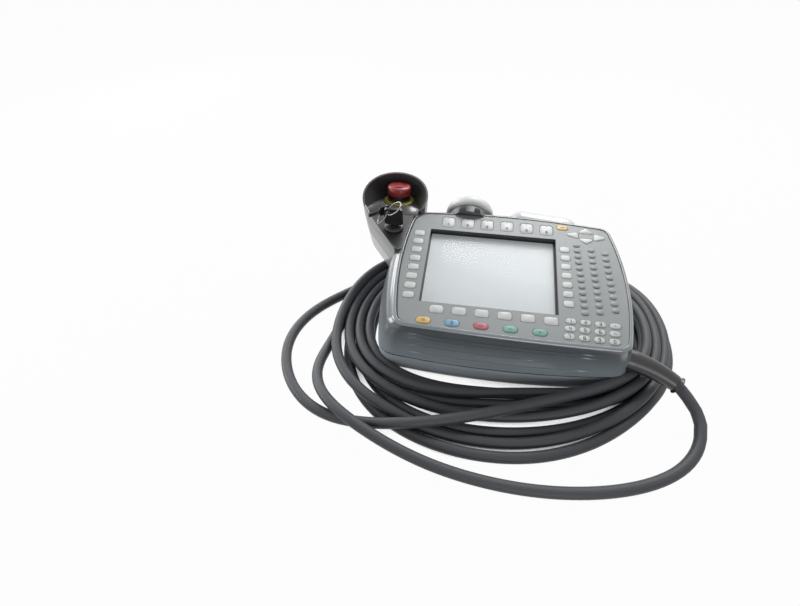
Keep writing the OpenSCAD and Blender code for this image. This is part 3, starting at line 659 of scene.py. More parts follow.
@dataclass(frozen=True)
class Metal:
    """Turned or plated metal with fine scratches."""

    name: str
    colour: tuple[int, int, int]
    rough: float = 0.28
    scratch: float = 0.5

    def make(self) -> bpy.types.Material:
        """The material: a stretched noise on Object coordinates for the scratches.

        Returns:
            The finished material.
        """
        b = Coating(self.name)
        lines = b.noise(b.coords("Object", (1.0, 12.0, 12.0)), 240.0, 4.0, 0.7)
        slow = b.noise(b.coords(), 70.0, 2.0)
        base = linear(self.colour)
        b.set(Base_Color=b.mix(tinted(base, 0.8), base, slow), Metallic=1.0,
              Roughness=self.rough + 0.2 * (lines - 0.5) * self.scratch + 0.06 * slow)
        b.bump(lines, 0.01, self.scratch)
        return b.material


@dataclass(frozen=True)
class Display:
    """The unlit display: pale, faintly blue, with a slow change across it, fine columns and a faint painted
    glow.
    """

    dark: tuple[int, int, int] = (209, 213, 214)
    pale: tuple[int, int, int] = (218, 222, 223)
    painted_glow: tuple[float, float, float, float] = (0.84, 0.88, 0.9, 1.0)
    power: float = 0.14

    def make(self) -> bpy.types.Material:
        """The material: a noise and a wave on Object coordinates mix its two shades; a weak emission paints a
        glow on the unlit panel.

        Returns:
            The finished material.
        """
        b = Coating("display panel")
        at = b.coords()
        slow = b.noise(at, 7.0, 1.0)
        rows = b.wire("ShaderNodeTexWave", {"bands_direction": "X"}, {"Vector": at, "Scale": 520.0}, "Fac")
        b.set(Base_Color=b.mix(linear(self.dark), linear(self.pale), slow * 0.8 + rows * 0.2),
              # The emission is a painted glow on the unlit display.
              Roughness=0.5 + 0.06 * slow, Emission_Color=self.painted_glow, Emission_Strength=self.power)
        return b.material


@dataclass(frozen=True)
class WindowGlass:
    """The window: clear, with a gloss that shows at a slant and a trace of dust."""

    colour: tuple[int, int, int] = (232, 238, 240)

    def make(self) -> bpy.types.Material:
        """The material: specks of dust on Object coordinates are rougher and less clear.

        Returns:
            The finished material.
        """
        b = Coating("window glass")
        specks = b.noise(b.coords(), 420.0, 3.0, 0.7).step(0.64, 0.76)
        b.set(Base_Color=linear(self.colour), Roughness=0.08 + 0.2 * specks, Alpha=0.10 + 0.12 * specks)
        return b.material


class Paint:
    """Every finish of the pendant, made once."""

    def __init__(self) -> None:
        """Makes the materials."""
        # Front shell: the colour is painted up to 5.6 times paler towards the wall's foot, as painted light on
        # the lower wall.
        self.front = Moulding("front shell plastic", (72, 77, 80), 0.26, 0.7, relief=0.008, mottle=0.05,
                              coat=0.7, dust=0.03, spec=0.6, sheen=0.2, painted_shading=5.6, low=0.03, high=0.1).make()
        # Rear shell: the front shell's plastic, painted far paler as painted light from the floor, and painted
        # down to a fifth near the floor as painted shade under the belly.
        self.rear = Moulding("rear shell painted light and shade", (170, 178, 184), 0.5, 0.8, relief=0.01, mottle=0.05,
                             dust=0.03, spec=0.25, painted_shading=0.2, low=0.002, high=0.024).make()
        self.lobe = Moulding("lobe plastic", (58, 59, 61), 0.3, 0.7, relief=0.003, mottle=0.04, coat=0.4,
                             dust=0.0, spec=0.6, sheen=0.3).make()
        # Lobe lid: painted pale as painted light on the lobe's lower flank, which is the lit side.
        self.lid = Moulding("lobe lid painted light", (150, 153, 156), 0.3, 0.7, relief=0.008, mottle=0.04, coat=0.5,
                            dust=0.02).make()
        self.face = Moulding("lobe face plastic", (58, 58, 60), 0.3, 0.7, relief=0.01, mottle=0.05).make()
        # Rim: dark plastic painted nine times paler on its lower, front part as a painted highlight; its back
        # stays dark.
        self.rim = Moulding("rim painted highlight", (50, 53, 55), 0.2, 0.5, relief=0.004, mottle=0.04, coat=0.8,
                            dust=0.0, spec=0.6, painted_shading=9.0, low=0.110, high=0.124).make()
        # Finger rest: part of the front shell's moulding, painted near white as a painted reflection of the
        # white background.
        self.pale = Moulding("finger rest painted reflection", (216, 218, 219), 0.3, relief=0.01, mottle=0.03, coat=0.3,
                             dust=0.02).make()
        self.gasket = Moulding("gasket rubber", (14, 15, 17), 0.6, 0.8, relief=0.02).make()
        self.overlay = Moulding("keypad overlay", (148, 152, 153), 0.44, 0.35, relief=0.01, mottle=0.03,
                                coat=0.05, dust=0.02).make()
        self.recess = Moulding("screen recess", (38, 39, 41), 0.4, relief=0.01).make()
        self.black = Moulding("black plastic", (23, 23, 25), 0.32, relief=0.015).make()
        self.red = Moulding("stop red", (144, 34, 36), 0.36, 0.5, relief=0.01, mottle=0.05, coat=0.1,
                            dust=0.03).make()
        self.yellow = Moulding("stop yellow", (214, 200, 78), 0.42, 0.5, relief=0.01, mottle=0.04).make()
        self.puck = Moulding("puck light plastic", (222, 223, 222), 0.36, relief=0.015, mottle=0.03).make()
        self.ink = Moulding("key print", (92, 96, 98), 0.5, relief=0.01).make()
        self.puck_dark = Moulding("puck dark plastic", (50, 51, 53), 0.4, relief=0.015).make()
        self.grey = Moulding("switch grey", (160, 162, 164), 0.45, 0.7, relief=0.02, mottle=0.04).make()
        self.green = Moulding("start green", (58, 142, 84), 0.38, relief=0.015, mottle=0.04).make()
        self.board = Moulding("circuit board", (24, 86, 52), 0.4, 1.2, relief=0.02, mottle=0.12).make()
        self.sleeve = Moulding("sleeve rubber", (46, 46, 48), 0.3, 0.5, relief=0.01, mottle=0.05,
                               coat=0.2).make()
        self.white_key = KeyPlastic("white key", (211, 214, 211)).make()
        self.yellow_key = KeyPlastic("yellow key", (232, 194, 118)).make()
        self.blue_key = KeyPlastic("blue key", (132, 182, 212)).make()
        self.red_key = KeyPlastic("red key", (192, 106, 110)).make()
        self.green_key = KeyPlastic("green key", (124, 178, 160)).make()
        self.sheath = Sheath().make()
        self.steel = Metal("key steel", (128, 129, 131), 0.26).make()
        self.nickel = Metal("satin nickel", (186, 188, 190), 0.34, 0.8).make()
        self.screw = Metal("blackened steel", (96, 97, 99), 0.4, 0.6).make()
        self.lcd = Display().make()
        self.glass = WindowGlass().make()


# ---------------------------------------------------------------- camera, floor and lamps

@dataclass(frozen=True)
class Lamp:
    """A square soft lamp: where it stands and aims, in metres, its side and its power in watts."""

    name: str
    at: tuple[float, float, float]
    aim: tuple[float, float, float]
    size: float
    power: float

    def build(self) -> None:
        """Adds the lamp, turned to its aim."""
        data = bpy.data.lights.new(self.name, "AREA")
        data.size, data.energy = self.size, self.power
        lamp = bpy.data.objects.new(self.name, data)
        lamp.location = self.at
        lamp.rotation_euler = (Vector(self.aim) - Vector(self.at)).to_track_quat("-Z", "Y").to_euler()
        bpy.context.scene.collection.objects.link(lamp)


@dataclass(frozen=True)
class Studio:
    """A pale floor, a white background, five soft lamps and the camera."""

    eye: tuple[float, float, float] = (-0.0278, -0.5518, 0.5114)
    right: tuple[float, float, float] = (0.98749, 0.15768, -0.00195)
    up: tuple[float, float, float] = (-0.10360, 0.65801, 0.74585)
    lens: float = 23.046
    sky: Colour = (0.93, 0.96, 1.0, 1.0)
    sky_power: float = 0.17
    white: Colour = (1.0, 1.0, 1.0, 1.0)
    floor_dark: tuple[int, int, int] = (150, 151, 153)
    floor_pale: tuple[int, int, int] = (160, 161, 163)
    floor_light: float = 0.975
    floor_half: float = 4.0
    floor_z: float = -0.0002
    gap_reach: float = 0.02
    lamps: tuple[Lamp, ...] = (
        Lamp("window light", (-1.0, 0.85, 0.5), (-0.08, 0.0, 0.06), 0.7, 10.0),
        Lamp("side light", (-1.1, -0.08, 0.14), (-0.1, -0.05, 0.06), 0.5, 6.0),
        Lamp("overhead light", (0.15, 0.85, 1.05), (0.0, -0.02, 0.05), 0.5, 10.0),
        Lamp("back light", (0.6, 1.0, 0.9), (0.0, 0.05, 0.06), 0.7, 6.0),
        Lamp("front fill", (0.3, -1.3, 0.22), (0.0, -0.1, 0.05), 0.7, 5.0))

    def camera(self) -> None:
        """Sets up the camera from its place and two directions, squared to each other."""
        right = unit(np.array(self.right))
        up = unit(np.array(self.up) - right * (np.array(self.up) @ right))
        back = np.cross(right, up)
        data = bpy.data.cameras.new("view")
        data.lens, data.sensor_width, data.clip_start = self.lens, 36.0, 0.01
        camera = bpy.data.objects.new("view", data)
        rows = np.stack([right, up, back, self.eye], 1)
        camera.matrix_world = Matrix([*rows.tolist(), [0, 0, 0, 1]])
        bpy.context.scene.collection.objects.link(camera)
        bpy.context.scene.camera = camera

    def world(self) -> None:
        """A soft sky for light, and plain white where it is looked at."""
        world = bpy.data.worlds.new("studio")
        bpy.context.scene.world = world
        world.use_nodes = True
        b = Bench(world.node_tree)
        soft = b.wire("ShaderNodeBackground", None, {"Color": self.sky, "Strength": self.sky_power})
        white = b.wire("ShaderNodeBackground", None, {"Color": self.white, "Strength": 1.0})
        both = b.wire("ShaderNodeMixShader", None, {0: b.seen(), 1: soft, 2: white})
        b.node("ShaderNodeOutputWorld", None, {"Surface": both})

    def floor(self) -> None:
        """A wide pale floor that looks white, keeps a soft shadow and is dark in the deep gaps of the coil."""
        b = Coating("studio floor")
        grain = b.noise(b.coords(), 3.0, 2.0)
        b.set(Base_Color=b.mix(linear(self.floor_dark), linear(self.floor_pale), grain), Roughness=0.8)
        light = b.wire("ShaderNodeEmission", None, {"Color": self.white, "Strength": 1.0})
        open_sky = b.wire("ShaderNodeAmbientOcclusion", {"samples": 8}, {"Distance": self.gap_reach}, "AO")
        factor = b.seen() * self.floor_light * open_sky.step(0.05, 0.22)
        both = b.wire("ShaderNodeMixShader", None, {0: factor, 1: b.surface, 2: light})
        b.feed(b.output.inputs["Surface"], both)
        x, y = np.meshgrid(*[np.linspace(-self.floor_half, self.floor_half, 9)] * 2)
        form = Form().grid(np.stack([x, y, np.full_like(x, self.floor_z)], -1), wrap=False)
        data = form.mesh("floor", 1e-7)
        data.materials.append(b.material)
        floor = bpy.data.objects.new("floor", data)
        bpy.context.scene.collection.objects.link(floor)
        log.info("floor: %.0f m wide", 2 * self.floor_half)

    def build(self) -> None:
        """World, floor and lamps."""
        self.world()
        self.floor()
        for lamp in self.lamps:
            lamp.build()


# ---------------------------------------------------------------- the lead

def table(*rows: Sequence[float]) -> Array:
    """A dataclass field that holds rows of numbers."""
    return field(default_factory=lambda: np.array(rows, float))


@dataclass
class Lead:
    """The lead: one cord from the sleeve, round the front, through the coil and back to its plug, in mm.

    It leaves the sleeve and goes round the front, makes one or more turns, swings out in a loose turn, is laid
    in the coil turn on turn, and its tail leaves the coil for the plug. A point of the coil is given by its
    count of turns, which is whole on the left and rises clockwise, and by its place between the coil's inner
    and outer edge, 0 and 1.
    """

    diameter: float = 13.5
    step: float = 9.0
    sides: int = 14
    turns: int = 8
    centre: tuple[float, float] = (28.0, -25.0)
    out_of_sleeve: Array = table(
        [226, -115, 41], [236, -124.5, 36.5], [249, -132, 29], [257, -149, 21], [258, -171, 14],
        [248, -193, 9], [230, -213, 7], [201, -233, 7], [162, -249, 7], [115, -260, 7], [60, -265, 7],
        [5, -261, 7], [-45, -252, 8], [-95, -237, 14], [-135, -219, 21], [-165, -202, 22],
        [-188, -180, 20], [-202, -152, 15], [-206, -127, 9], [-201, -106, 7])
    loose_turn: Array = table(
        [-118, -204, 7], [-148, -211, 7], [-176, -207, 7], [-201, -194, 7], [-226, -170, 7],
        [-247, -135, 7], [-257, -96, 7], [-252, -58, 7], [-235, -22, 7], [-208, 8, 7], [-178, 34, 7])
    tail: Array = table(
        [-118, 95, 19], [-88, 118, 13], [-55, 138, 8], [-18, 157, 9], [18, 173, 13], [50, 185, 17],
        [76, 190, 19], [104, 190, 19])
    # Circles, each an x, y and radius, whose common outline is the coil's edge
    outside: Array = table([-88, -92, 118], [-50, -108, 130], [50, -78, 160], [96, -20, 160], [-62, -5, 124])
    inside: Array = table([-100, -92, 28], [-50, -92, 40], [130, -55, 68], [140, 10, 60], [-72, 0, 60])
    # How the turns are laid, a row a knot: after how many turns, how far out, and how high
    laid_knots: Array = table(
        (-.1, 1, 7), (.02, .8, 7), (.12, .75, 7), (.2, .7, 20), (.28, .4, 33), (.36, .08, 24), (.45, 0, 20),
        (.62, 0, 20), (.69, .15, 20), (.75, .44, 20), (.805, .7, 20), (.84, .92, 12), (.87, 1.05, 7),
        (1.06, 1, 7), (1.25, .88, 7), (1.5, .84, 7), (1.68, .93, 7), (1.75, 1, 7), (2, .55, 7), (2.25, .6, 7),
        (2.5, .53, 7), (2.7, .6, 7), (2.78, .67, 7), (3, .28, 7), (3.25, .35, 7), (3.5, .26, 7),
        (3.66, .01, 7), (3.735, .02, 7), (3.8, .28, 7), (3.88, .26, 7), (4, 0, 7), (4.25, .08, 7), (4.5, 0, 7),
        (4.62, -.14, 7), (4.735, -.14, 7), (4.79, .12, 7), (4.88, .14, 7), (5, .13, 19), (5.25, .22, 20),
        (5.5, .27, 20), (5.62, .05, 18), (5.67, -.12, 22), (5.735, -.12, 22), (5.79, .24, 14),
        (5.87, .28, 12), (6, .41, 20), (6.25, .5, 20), (6.5, .5, 20), (6.62, .4, 12), (6.7, .36, 10),
        (6.76, .4, 10), (7, .68, 20), (7.25, .75, 20), (7.5, .82, 20), (7.64, .74, 10), (7.74, .8, 10),
        (8, .92, 20), (8.3, 1, 20))
    laid_step: float = 0.0075
    joint_gap: float = 0.04
    rounds: int = 420
    sink: float = 0.5
    firmness: tuple = ((1, 0.5), (2, 0.35), (4, 0.3))
    push: float = 0.45
    push_limit: float = 2.5
    floor_gap: float = 0.25
    rear_box: tuple[float, float, float, float] = (-140.0, 185.0, 40.0, 100.0)
    rear_slope: float = 0.1763
    rear_line: float = -12.5
    rear_height: float = 16.4

    @staticmethod
    def evenly(p: Array, step: float, value: Array) -> tuple[Array, Array]:
        """A line and a value along it, at even steps of its length.

        Args:
            p: the line's points.
            step: the wanted step, which is fitted to the length.
            value: a number at each point.

        Returns:
            The new points and the value at each.
        """
        s = np.r_[0, np.cumsum(np.linalg.norm(np.diff(p, axis=0), axis=1))]
        at = np.linspace(0, s[-1], int(round(s[-1] / step)) + 1)
        return np.stack([np.interp(at, s, p[:, k]) for k in range(3)], 1), np.interp(at, s, value)

    def edge(self, circles: Array, grow: float, angle: Array) -> Array:
        """How far the common outline of circles lies from the middle, along each angle.

        The outline's support line in direction n is at max(c.n + r) - m.n, and the ray along d leaves
        the outline at the least of those values over d.n.

        Args:
            circles: x, y and radius of each.
            grow: what is added to every radius.
            angle: directions from the middle, in radians.

        Returns:
            The distance for each angle.
        """
        across = np.linspace(0, 2 * np.pi, 360, endpoint=False)
        n = np.stack([np.cos(across), np.sin(across)], 1)
        line = (circles[:, :2] @ n.T + circles[:, 2:3] + grow).max(0) - n @ np.array(self.centre)
        facing = np.stack([np.cos(angle), np.sin(angle)], 1) @ n.T
        return np.where(facing > 0.15, line / np.maximum(facing, 0.15), 1e9).min(1)

    def turn_of(self, p: Array) -> float:
        """Which part of a turn a point lies at: 0 on the left, rising clockwise."""
        a = math.atan2(p[1] - self.centre[1], p[0] - self.centre[0])
        return ((math.pi - a) / (2 * math.pi)) % 1

    def laid(self, first: float, last: float) -> Array:
        """The turns as laid by hand: place and height ease from knot to knot.

        Args:
            first: count of turns at the start.
            last: count of turns at the end.

        Returns:
            The points of the line.
        """
        count = np.arange(first, last, self.laid_step)
        knots = self.laid_knots.T
        i = np.clip(np.searchsorted(knots[0], count) - 1, 0, len(knots[0]) - 2)
        t = ease((count - knots[0][i]) / (knots[0][i + 1] - knots[0][i]))
        out, up = (knots[k][i] + (knots[k][i + 1] - knots[k][i]) * t for k in (1, 2))
        angle, r = np.pi - 2 * np.pi * count, self.diameter / 2 + 0.5
        inner, outer = self.edge(self.inside, r, angle), self.edge(self.outside, -r, angle)
        reach = inner + out * (outer - inner)
        return np.stack([self.centre[0] + reach * np.cos(angle), self.centre[1] + reach * np.sin(angle), up], 1)

    def route(self) -> tuple[Array, Array]:
        """The whole route before it settles: the three fixed runs with the laid turns between them.

        Returns:
            The points at even steps, and how firmly each is held, from 0 to 1.
        """
        fixed = [smooth_line(p) for p in (self.out_of_sleeve, self.loose_turn, self.tail)]
        enter = self.turn_of(fixed[0][-1])
        enter = enter - 1 if enter > 0.5 else enter
        slip, back = self.turn_of(fixed[1][0]), 1 + self.turn_of(fixed[1][-1])
        leave = self.turns + self.turn_of(fixed[2][0])
        turns = [self.laid(enter + 0.05, slip - 0.03),
                 self.laid(back + self.joint_gap, leave - self.joint_gap)]
        parts = [fixed[0], turns[0], fixed[1], turns[1], fixed[2]]
        held = np.concatenate([np.full(len(p), float(k % 2 == 0)) for k, p in enumerate(parts)])
        line, held = self.evenly(np.vstack(parts), self.step, held)
        for _ in range(12):
            line[1:-1] = 0.25 * line[:-2] + 0.5 * line[1:-1] + 0.25 * line[2:]
        soft = np.convolve(np.pad((held > 0.5).astype(float), 4, mode="edge"), np.ones(9) / 9, "valid")
        return line, soft ** 2

    def keep_length(self, p: Array, loose: Array) -> None:
        """Moves the ends of every step so that it keeps its length, even steps first and odd steps after.

        Args:
            p: the points, which are moved.
            loose: how freely each of them moves.
        """
        for odd in (0, 1):
            a = np.arange(odd, len(p) - 1, 2)
            span = p[a + 1] - p[a]
            long = np.linalg.norm(span, axis=1)
            give = span * ((long - self.step) / np.maximum(long, 1e-6) * 0.8 /
                           np.maximum(loose[a] + loose[a + 1], 1e-9))[:, None]
            p[a] += give * loose[a][:, None]
            p[a + 1] -= give * loose[a + 1][:, None]

    def straighten(self, p: Array, loose: Array) -> None:
        """Takes out sharp bends: each point goes towards the cubic through its two neighbours on either side.

        Args:
            p: the points, which are moved.
            loose: how freely each of them moves.
        """
        for h, firm in self.firmness:
            filtered = p.copy()
            filtered[2 * h:-2 * h] = (4 * p[h:-3 * h] + 4 * p[3 * h:-h] - p[:-4 * h] - p[4 * h:]) / 6
            p += (filtered - p) * firm * loose[:, None]

    def part_strands(self, p: Array, loose: Array, i: Array, j: Array) -> None:
        """Pushes points of different turns apart that are nearer than a diameter.

        Args:
            p: the points, which are moved.
            loose: how freely each of them moves.
            i: first points of the pairs that are near each other.
            j: their second points.
        """
        n = len(p)
        for _ in range(3):
            span = p[j] - p[i]
            long = np.maximum(np.linalg.norm(span, axis=1), 1e-6)
            both = np.maximum(loose[i] + loose[j], 1e-9)
            push = span * (np.maximum(0, self.diameter - long) * self.push / long / both)[:, None]
            move = np.stack([np.bincount(j, push[:, k] * loose[j], n) - np.bincount(i, push[:, k] * loose[i], n)
                             for k in range(3)], 1)
            p += np.clip(move, -self.push_limit, self.push_limit)

    def hold_in(self, p: Array, held: Array) -> None:
        """Keeps the points over the floor, between the coil's edges and under the terminal.

        The rear of the terminal leans over the coil: its underside rises by the lean's tangent.

        Args:
            p: the points, which are moved.
            held: how firmly each is held, from 0 to 1; those that are held may leave the coil.
        """
        d, middle = self.diameter, np.array(self.centre)
        p[:, 2] = np.maximum(p[:, 2], d / 2 + self.floor_gap)
        ray = p[:, :2] - middle
        far = np.maximum(np.hypot(*ray.T), 1e-6)
        angle = np.arctan2(ray[:, 1], ray[:, 0])
        low, high = self.edge(self.inside, d / 2 + 0.3, angle), self.edge(self.outside, 1.7 - d / 2, angle)
        kept = np.where(held < 0.5, np.clip(far, low, high), far)
        p[:, :2] = middle + ray * (kept / far)[:, None]
        left, right, front, back = self.rear_box
        under = (p[:, 1] > front) & (p[:, 1] < back) & (p[:, 0] > left) & (p[:, 0] < right)
        room = np.maximum((p[:, 1] - self.rear_line) * self.rear_slope + self.rear_height - d / 2 - 0.3, d / 2)
        p[:, 2] = np.where(under, np.minimum(p[:, 2], room), p[:, 2])

    def settle(self, line: Array, held: Array) -> Array:
        """Lets the turns sink under their weight until they rest on the floor and on each other.

        Each round lowers the free points, keeps the length of every step, straightens sharp bends with a
        fourth-order filter, and pushes apart points of different turns that are nearer than a diameter.

        Args:
            line: the points before they settle.
            held: how firmly each is held, from 0 to 1.

        Returns:
            The settled points.
        """
        p, n = line.copy(), len(line)
        loose, ends = 1 - 0.85 * held, np.r_[np.arange(5), np.arange(n - 5, n)]
        loose[ends] = 0
        apart = int(3.2 * self.diameter / self.step)
        pull = (0.010 + 0.25 * held) * loose
        for turn in range(self.rounds):
            if turn % 10 == 0:
                near = ((p[:, None] - p[None]) ** 2).sum(2) < (2 * self.diameter) ** 2
                i, j = np.nonzero(np.triu(near, apart + 1))
            p[:, 2] -= self.sink * max(0, 1 - turn / (0.8 * self.rounds)) * loose * (1 - held)
            p[:, :2] += pull[:, None] * (line - p)[:, :2]
            p[:, 2] += held * 0.2 * (line[:, 2] - p[:, 2]) * loose
            self.keep_length(p, loose)
            self.straighten(p, loose)
            self.part_strands(p, loose, i, j)
            self.hold_in(p, held)
            p[ends] = line[ends]
        return p

    def tube(self, line: Array) -> Form:
        """The lead's own round tube along a line, with its pattern's map in diameters.

        Args:
            line: the lead's middle, in metres.

        Returns:
            The tube with flat ends.
        """
        thick = self.diameter * MM
        rings = hose(line, np.full(len(line), thick / 2), self.sides)
        length = np.linalg.norm(np.diff(line, axis=0), axis=1).sum()
        return Form().grid(rings, Cap.FLAT, Cap.FLAT, reach=(length / thick, 1.0))

    def build(self, paint: Paint, with_pieces: Sequence[bpy.types.Object]) -> None:
        """The whole cord as one piece.

        Args:
            paint: the finishes.
            with_pieces: not used.
        """
        line = self.settle(*self.route()) * MM
        piece = place("lead", self.tube(line), paint.sheath, "cable",
                      ("control_cable", "cable_loose_turn", "cable_tail", "cable_coil"), 60.0)


@dataclass
class Sleeve:
    """The strain relief: a rubber sleeve that turns and droops as it leaves the wall, with a rolled lip."""

    outlet: tuple[float, float, float] = (168.0, -84.0, -43.0)
    length: float = 74.0
    sunk: float = 6.0
    root: float = 13.0
    tip: float = 9.5
    yaw: tuple[float, float] = (-6.0, -28.0)
    dip: tuple[float, float] = (6.0, 20.0)
    steps: int = 30
    sides: int = 40
    lip: float = 1.7
    lip_at: tuple[float, float] = (0.985, 0.014)
    tie: float = 0.8
    tie_at: tuple[float, float] = (0.94, 0.012)
    throat: float = 6.9

    def build(self, paint: Paint) -> bpy.types.Object:
        """Rings across the bent line: the body tapers, is tied near its end and flares into the lip.

        The lip and the tie are bell curves, each with a place and a width as shares of the length.

        Args:
            paint: the finishes.

        Returns:
            The sleeve's object.
        """
        t = np.arange(self.steps) / self.steps
        yaw, dip = np.radians(lerp(*self.yaw, t)), np.radians(lerp(*self.dip, t))
        ahead = np.stack([np.cos(yaw) * np.cos(dip), np.sin(yaw) * np.cos(dip), -np.sin(dip)], 1)
        start = np.array(self.outlet) - self.sunk * ahead[0]
        line = smooth_line(np.vstack([start, start + np.cumsum(ahead * self.length / self.steps, 0)]), 8)
        s = np.linspace(0, 1, len(line))
        lip, tie = (np.exp(-((s - at) / wide) ** 2) for at, wide in (self.lip_at, self.tie_at))
        radii = lerp(self.root, self.tip, np.maximum(0, (s - 0.2) / 0.8)) + self.lip * lip - self.tie * tie
        middle = STANCE.row(line)
        rings = hose(middle, radii * MM, self.sides)
        throat = middle[-1] + (rings[-1] - middle[-1]) * self.throat / radii[-1]
        form = Form().grid(np.concatenate([rings, throat[None]]), Cap.FLAT, Cap.FLAT)
        return place("strain_relief_skin", form, paint.sleeve, "sleeve", ("strain_relief",), 50.0)


# ---------------------------------------------------------------- the terminal

@dataclass(frozen=True)
class Housing:
    """The two shells of the terminal, in the panel's frame, in mm.

    An outline has four corner arcs, counted anticlockwise from the left front one, and four bowed sides. Its
    flare is 0 at the rim and 1 at the girth; the left side has a flare of its own.
    """

    reach_left: float = 92.0
    reach_right: float = 148.0
    reach_front: float = 83.5
    reach_back: float = 77.0
    front_skew: float = 7.0
    back_in: tuple[float, float] = (9.5, 7.5)
    back_skew: float = 6.5
    depth: float = 98.0
    joint: float = 58.0
    wall: float = 3.0
    gasket: float = 0.8
    belly: float = 20.0
    rim_w: float = 4.5
    rim_rise: float = 0.9
    rim_edge: float = 4.1
    rim_lip: float = 0.35
    rim_foot: float = 1.5
    screen: tuple[float, float] = (165.0, 126.4)
    keypad_r: tuple = (13, 10, 12, 22)
    girth_r: tuple = (25, 24, 24, 36)
    flare: tuple = ((-15, 1.5), (4, 10.5), (3.5, -5), (-15.5, -10.5))
    rim_bow: tuple = (1 / 3500, 1 / 400, 1 / 1000, 1 / 460)
    girth_bow: tuple = (1 / 1190, 1 / 400, 1 / 1000, 1 / 460)
    grooves: tuple = ((-12.5, 125.0), (-19.0, 125.0), (-32.0, 60.0), (-45.0, 125.0))
    groove_depth: float = 1.6
    groove_half: float = 0.9
    groove_flank: float = 0.5
    groove_run: float = 18.0
    groove_y: float = -70.0
    # The front shell's foot: how far inside the girth, and how high over the joint
    foot: tuple = ((1.7, 0.0), (1.7, 1.0), (0.3, 1.05))
    # The rear shell above its belly: how far inside the girth, and how high over its top
    rear_wall: tuple = ((0, -13.2), (0, -7.2), (0, -1.0), (0.3, -0.55), (1.2, -0.5), (1.2, 0))
    rest_ends: tuple = ((42.0, 33.5), (96.0, 27.0))
    rest_z: float = -26.0
    rest_r: float = 22.0
    floor_z: float = 10.0
    floor_inset: float = 8.0
    screw_r: float = 3.5
    screw_depth: float = 8.0
    switch_size: tuple[float, float, float] = (62.0, 15.0, 6.0)
    switch_play: float = 0.3
    button_at: tuple[float, float] = (22.0, 22.0)
    button_r: float = 8.05
    well: float = 3.0

    def corner(self, i: int, t: float, left: float) -> Array:
        """Centre of a corner arc: its place at the rim, moved out by its flare.

        Args:
            i: which corner.
            t: the flare.
            left: the left side's own flare.

        Returns:
            The centre's x and y.
        """
        at = np.array([[-self.reach_left, -self.reach_front],
                       [self.reach_right, -self.reach_front - self.front_skew],
                       [self.reach_right - self.back_in[0], self.reach_back],
                       [self.back_in[1] - self.reach_left, self.reach_back - self.back_skew]])
        out = self.flare[i]
        return at[i] + [out[0] * (left if i in (0, 3) else t), out[1] * t]

    def corner_r(self, i: int, t: float) -> float:
        """Radius of a corner arc."""
        return lerp(self.keypad_r[i] + self.rim_w, self.girth_r[i], t)

    def bow(self, i: int, t: float) -> float:
        """Radius of a bowed side."""
        return 1 / lerp(self.rim_bow[i], self.girth_bow[i], t)

    def outline(self, t: float, left: float, inset: float, corner: int = 12, side: int = 30) -> Array:
        """The outline at a flare: each side is the circle that touches both of its corner arcs from outside.

        Args:
            t: the flare.
            left: the left side's own flare.
            inset: how far inside the outline the line runs, in mm.
            corner: chords in each corner's arc.
            side: chords in each side.

        Returns:
            The outline's points, anticlockwise.
        """
        centres = []
        for i in range(4):
            j = (i + 1) % 4
            c1, c2 = self.corner(i, t, left), self.corner(j, t, left)
            d = np.linalg.norm(c2 - c1)
            u, r = (c2 - c1) / d, self.bow(i, t)
            a, b = r - self.corner_r(i, t), r - self.corner_r(j, t)
            x = (a * a - b * b + d * d) / (2 * d)
            centres.append(c1 + x * u + math.sqrt(a * a - x * x) * np.array([-u[1], u[0]]))
        parts = []
        for i in range(4):
            c, after = self.corner(i, t, left), self.corner((i + 1) % 4, t, left)
            start, leave = heading(c - centres[i - 1]), heading(c - centres[i])
            arrive = heading(after - centres[i])
            parts.append(polar(c, self.corner_r(i, t) - inset,
                               start + wrap180(leave - start) * np.linspace(0, 1, corner + 1)))
            parts.append(polar(centres[i], self.bow(i, t) - inset,
                               leave + wrap180(arrive - leave) * np.linspace(0, 1, side + 1)[1:-1]))
        return np.concatenate(parts)

    def girth(self, inset: float, z: float) -> Array:
        """The widest outline at a height, inside by inset."""
        return lifted(self.outline(1, 1, inset), z)

    def wall_ring(self, z: float) -> Array:
        """The wall's outline at a height, flared as the wall leaves the rim, with the grip grooves cut in.

        Args:
            z: the height in mm.

        Returns:
            The ring's points.
        """
        down = min(1.0, max(0.0, -z / self.joint))
        ring = lifted(self.outline(down ** 0.85, down ** 0.45, 0.0), z)
        x, y = ring[:, 0], ring[:, 1]
        for groove_z, end in self.grooves:
            along = ease((x + self.reach_left) / self.groove_run) * ease((end - x) / self.groove_run)
            deep = ease((self.groove_half - abs(z - groove_z)) / self.groove_flank)
            ring[:, 1] += self.groove_depth * deep * (along * (y < self.groove_y))
        return ring

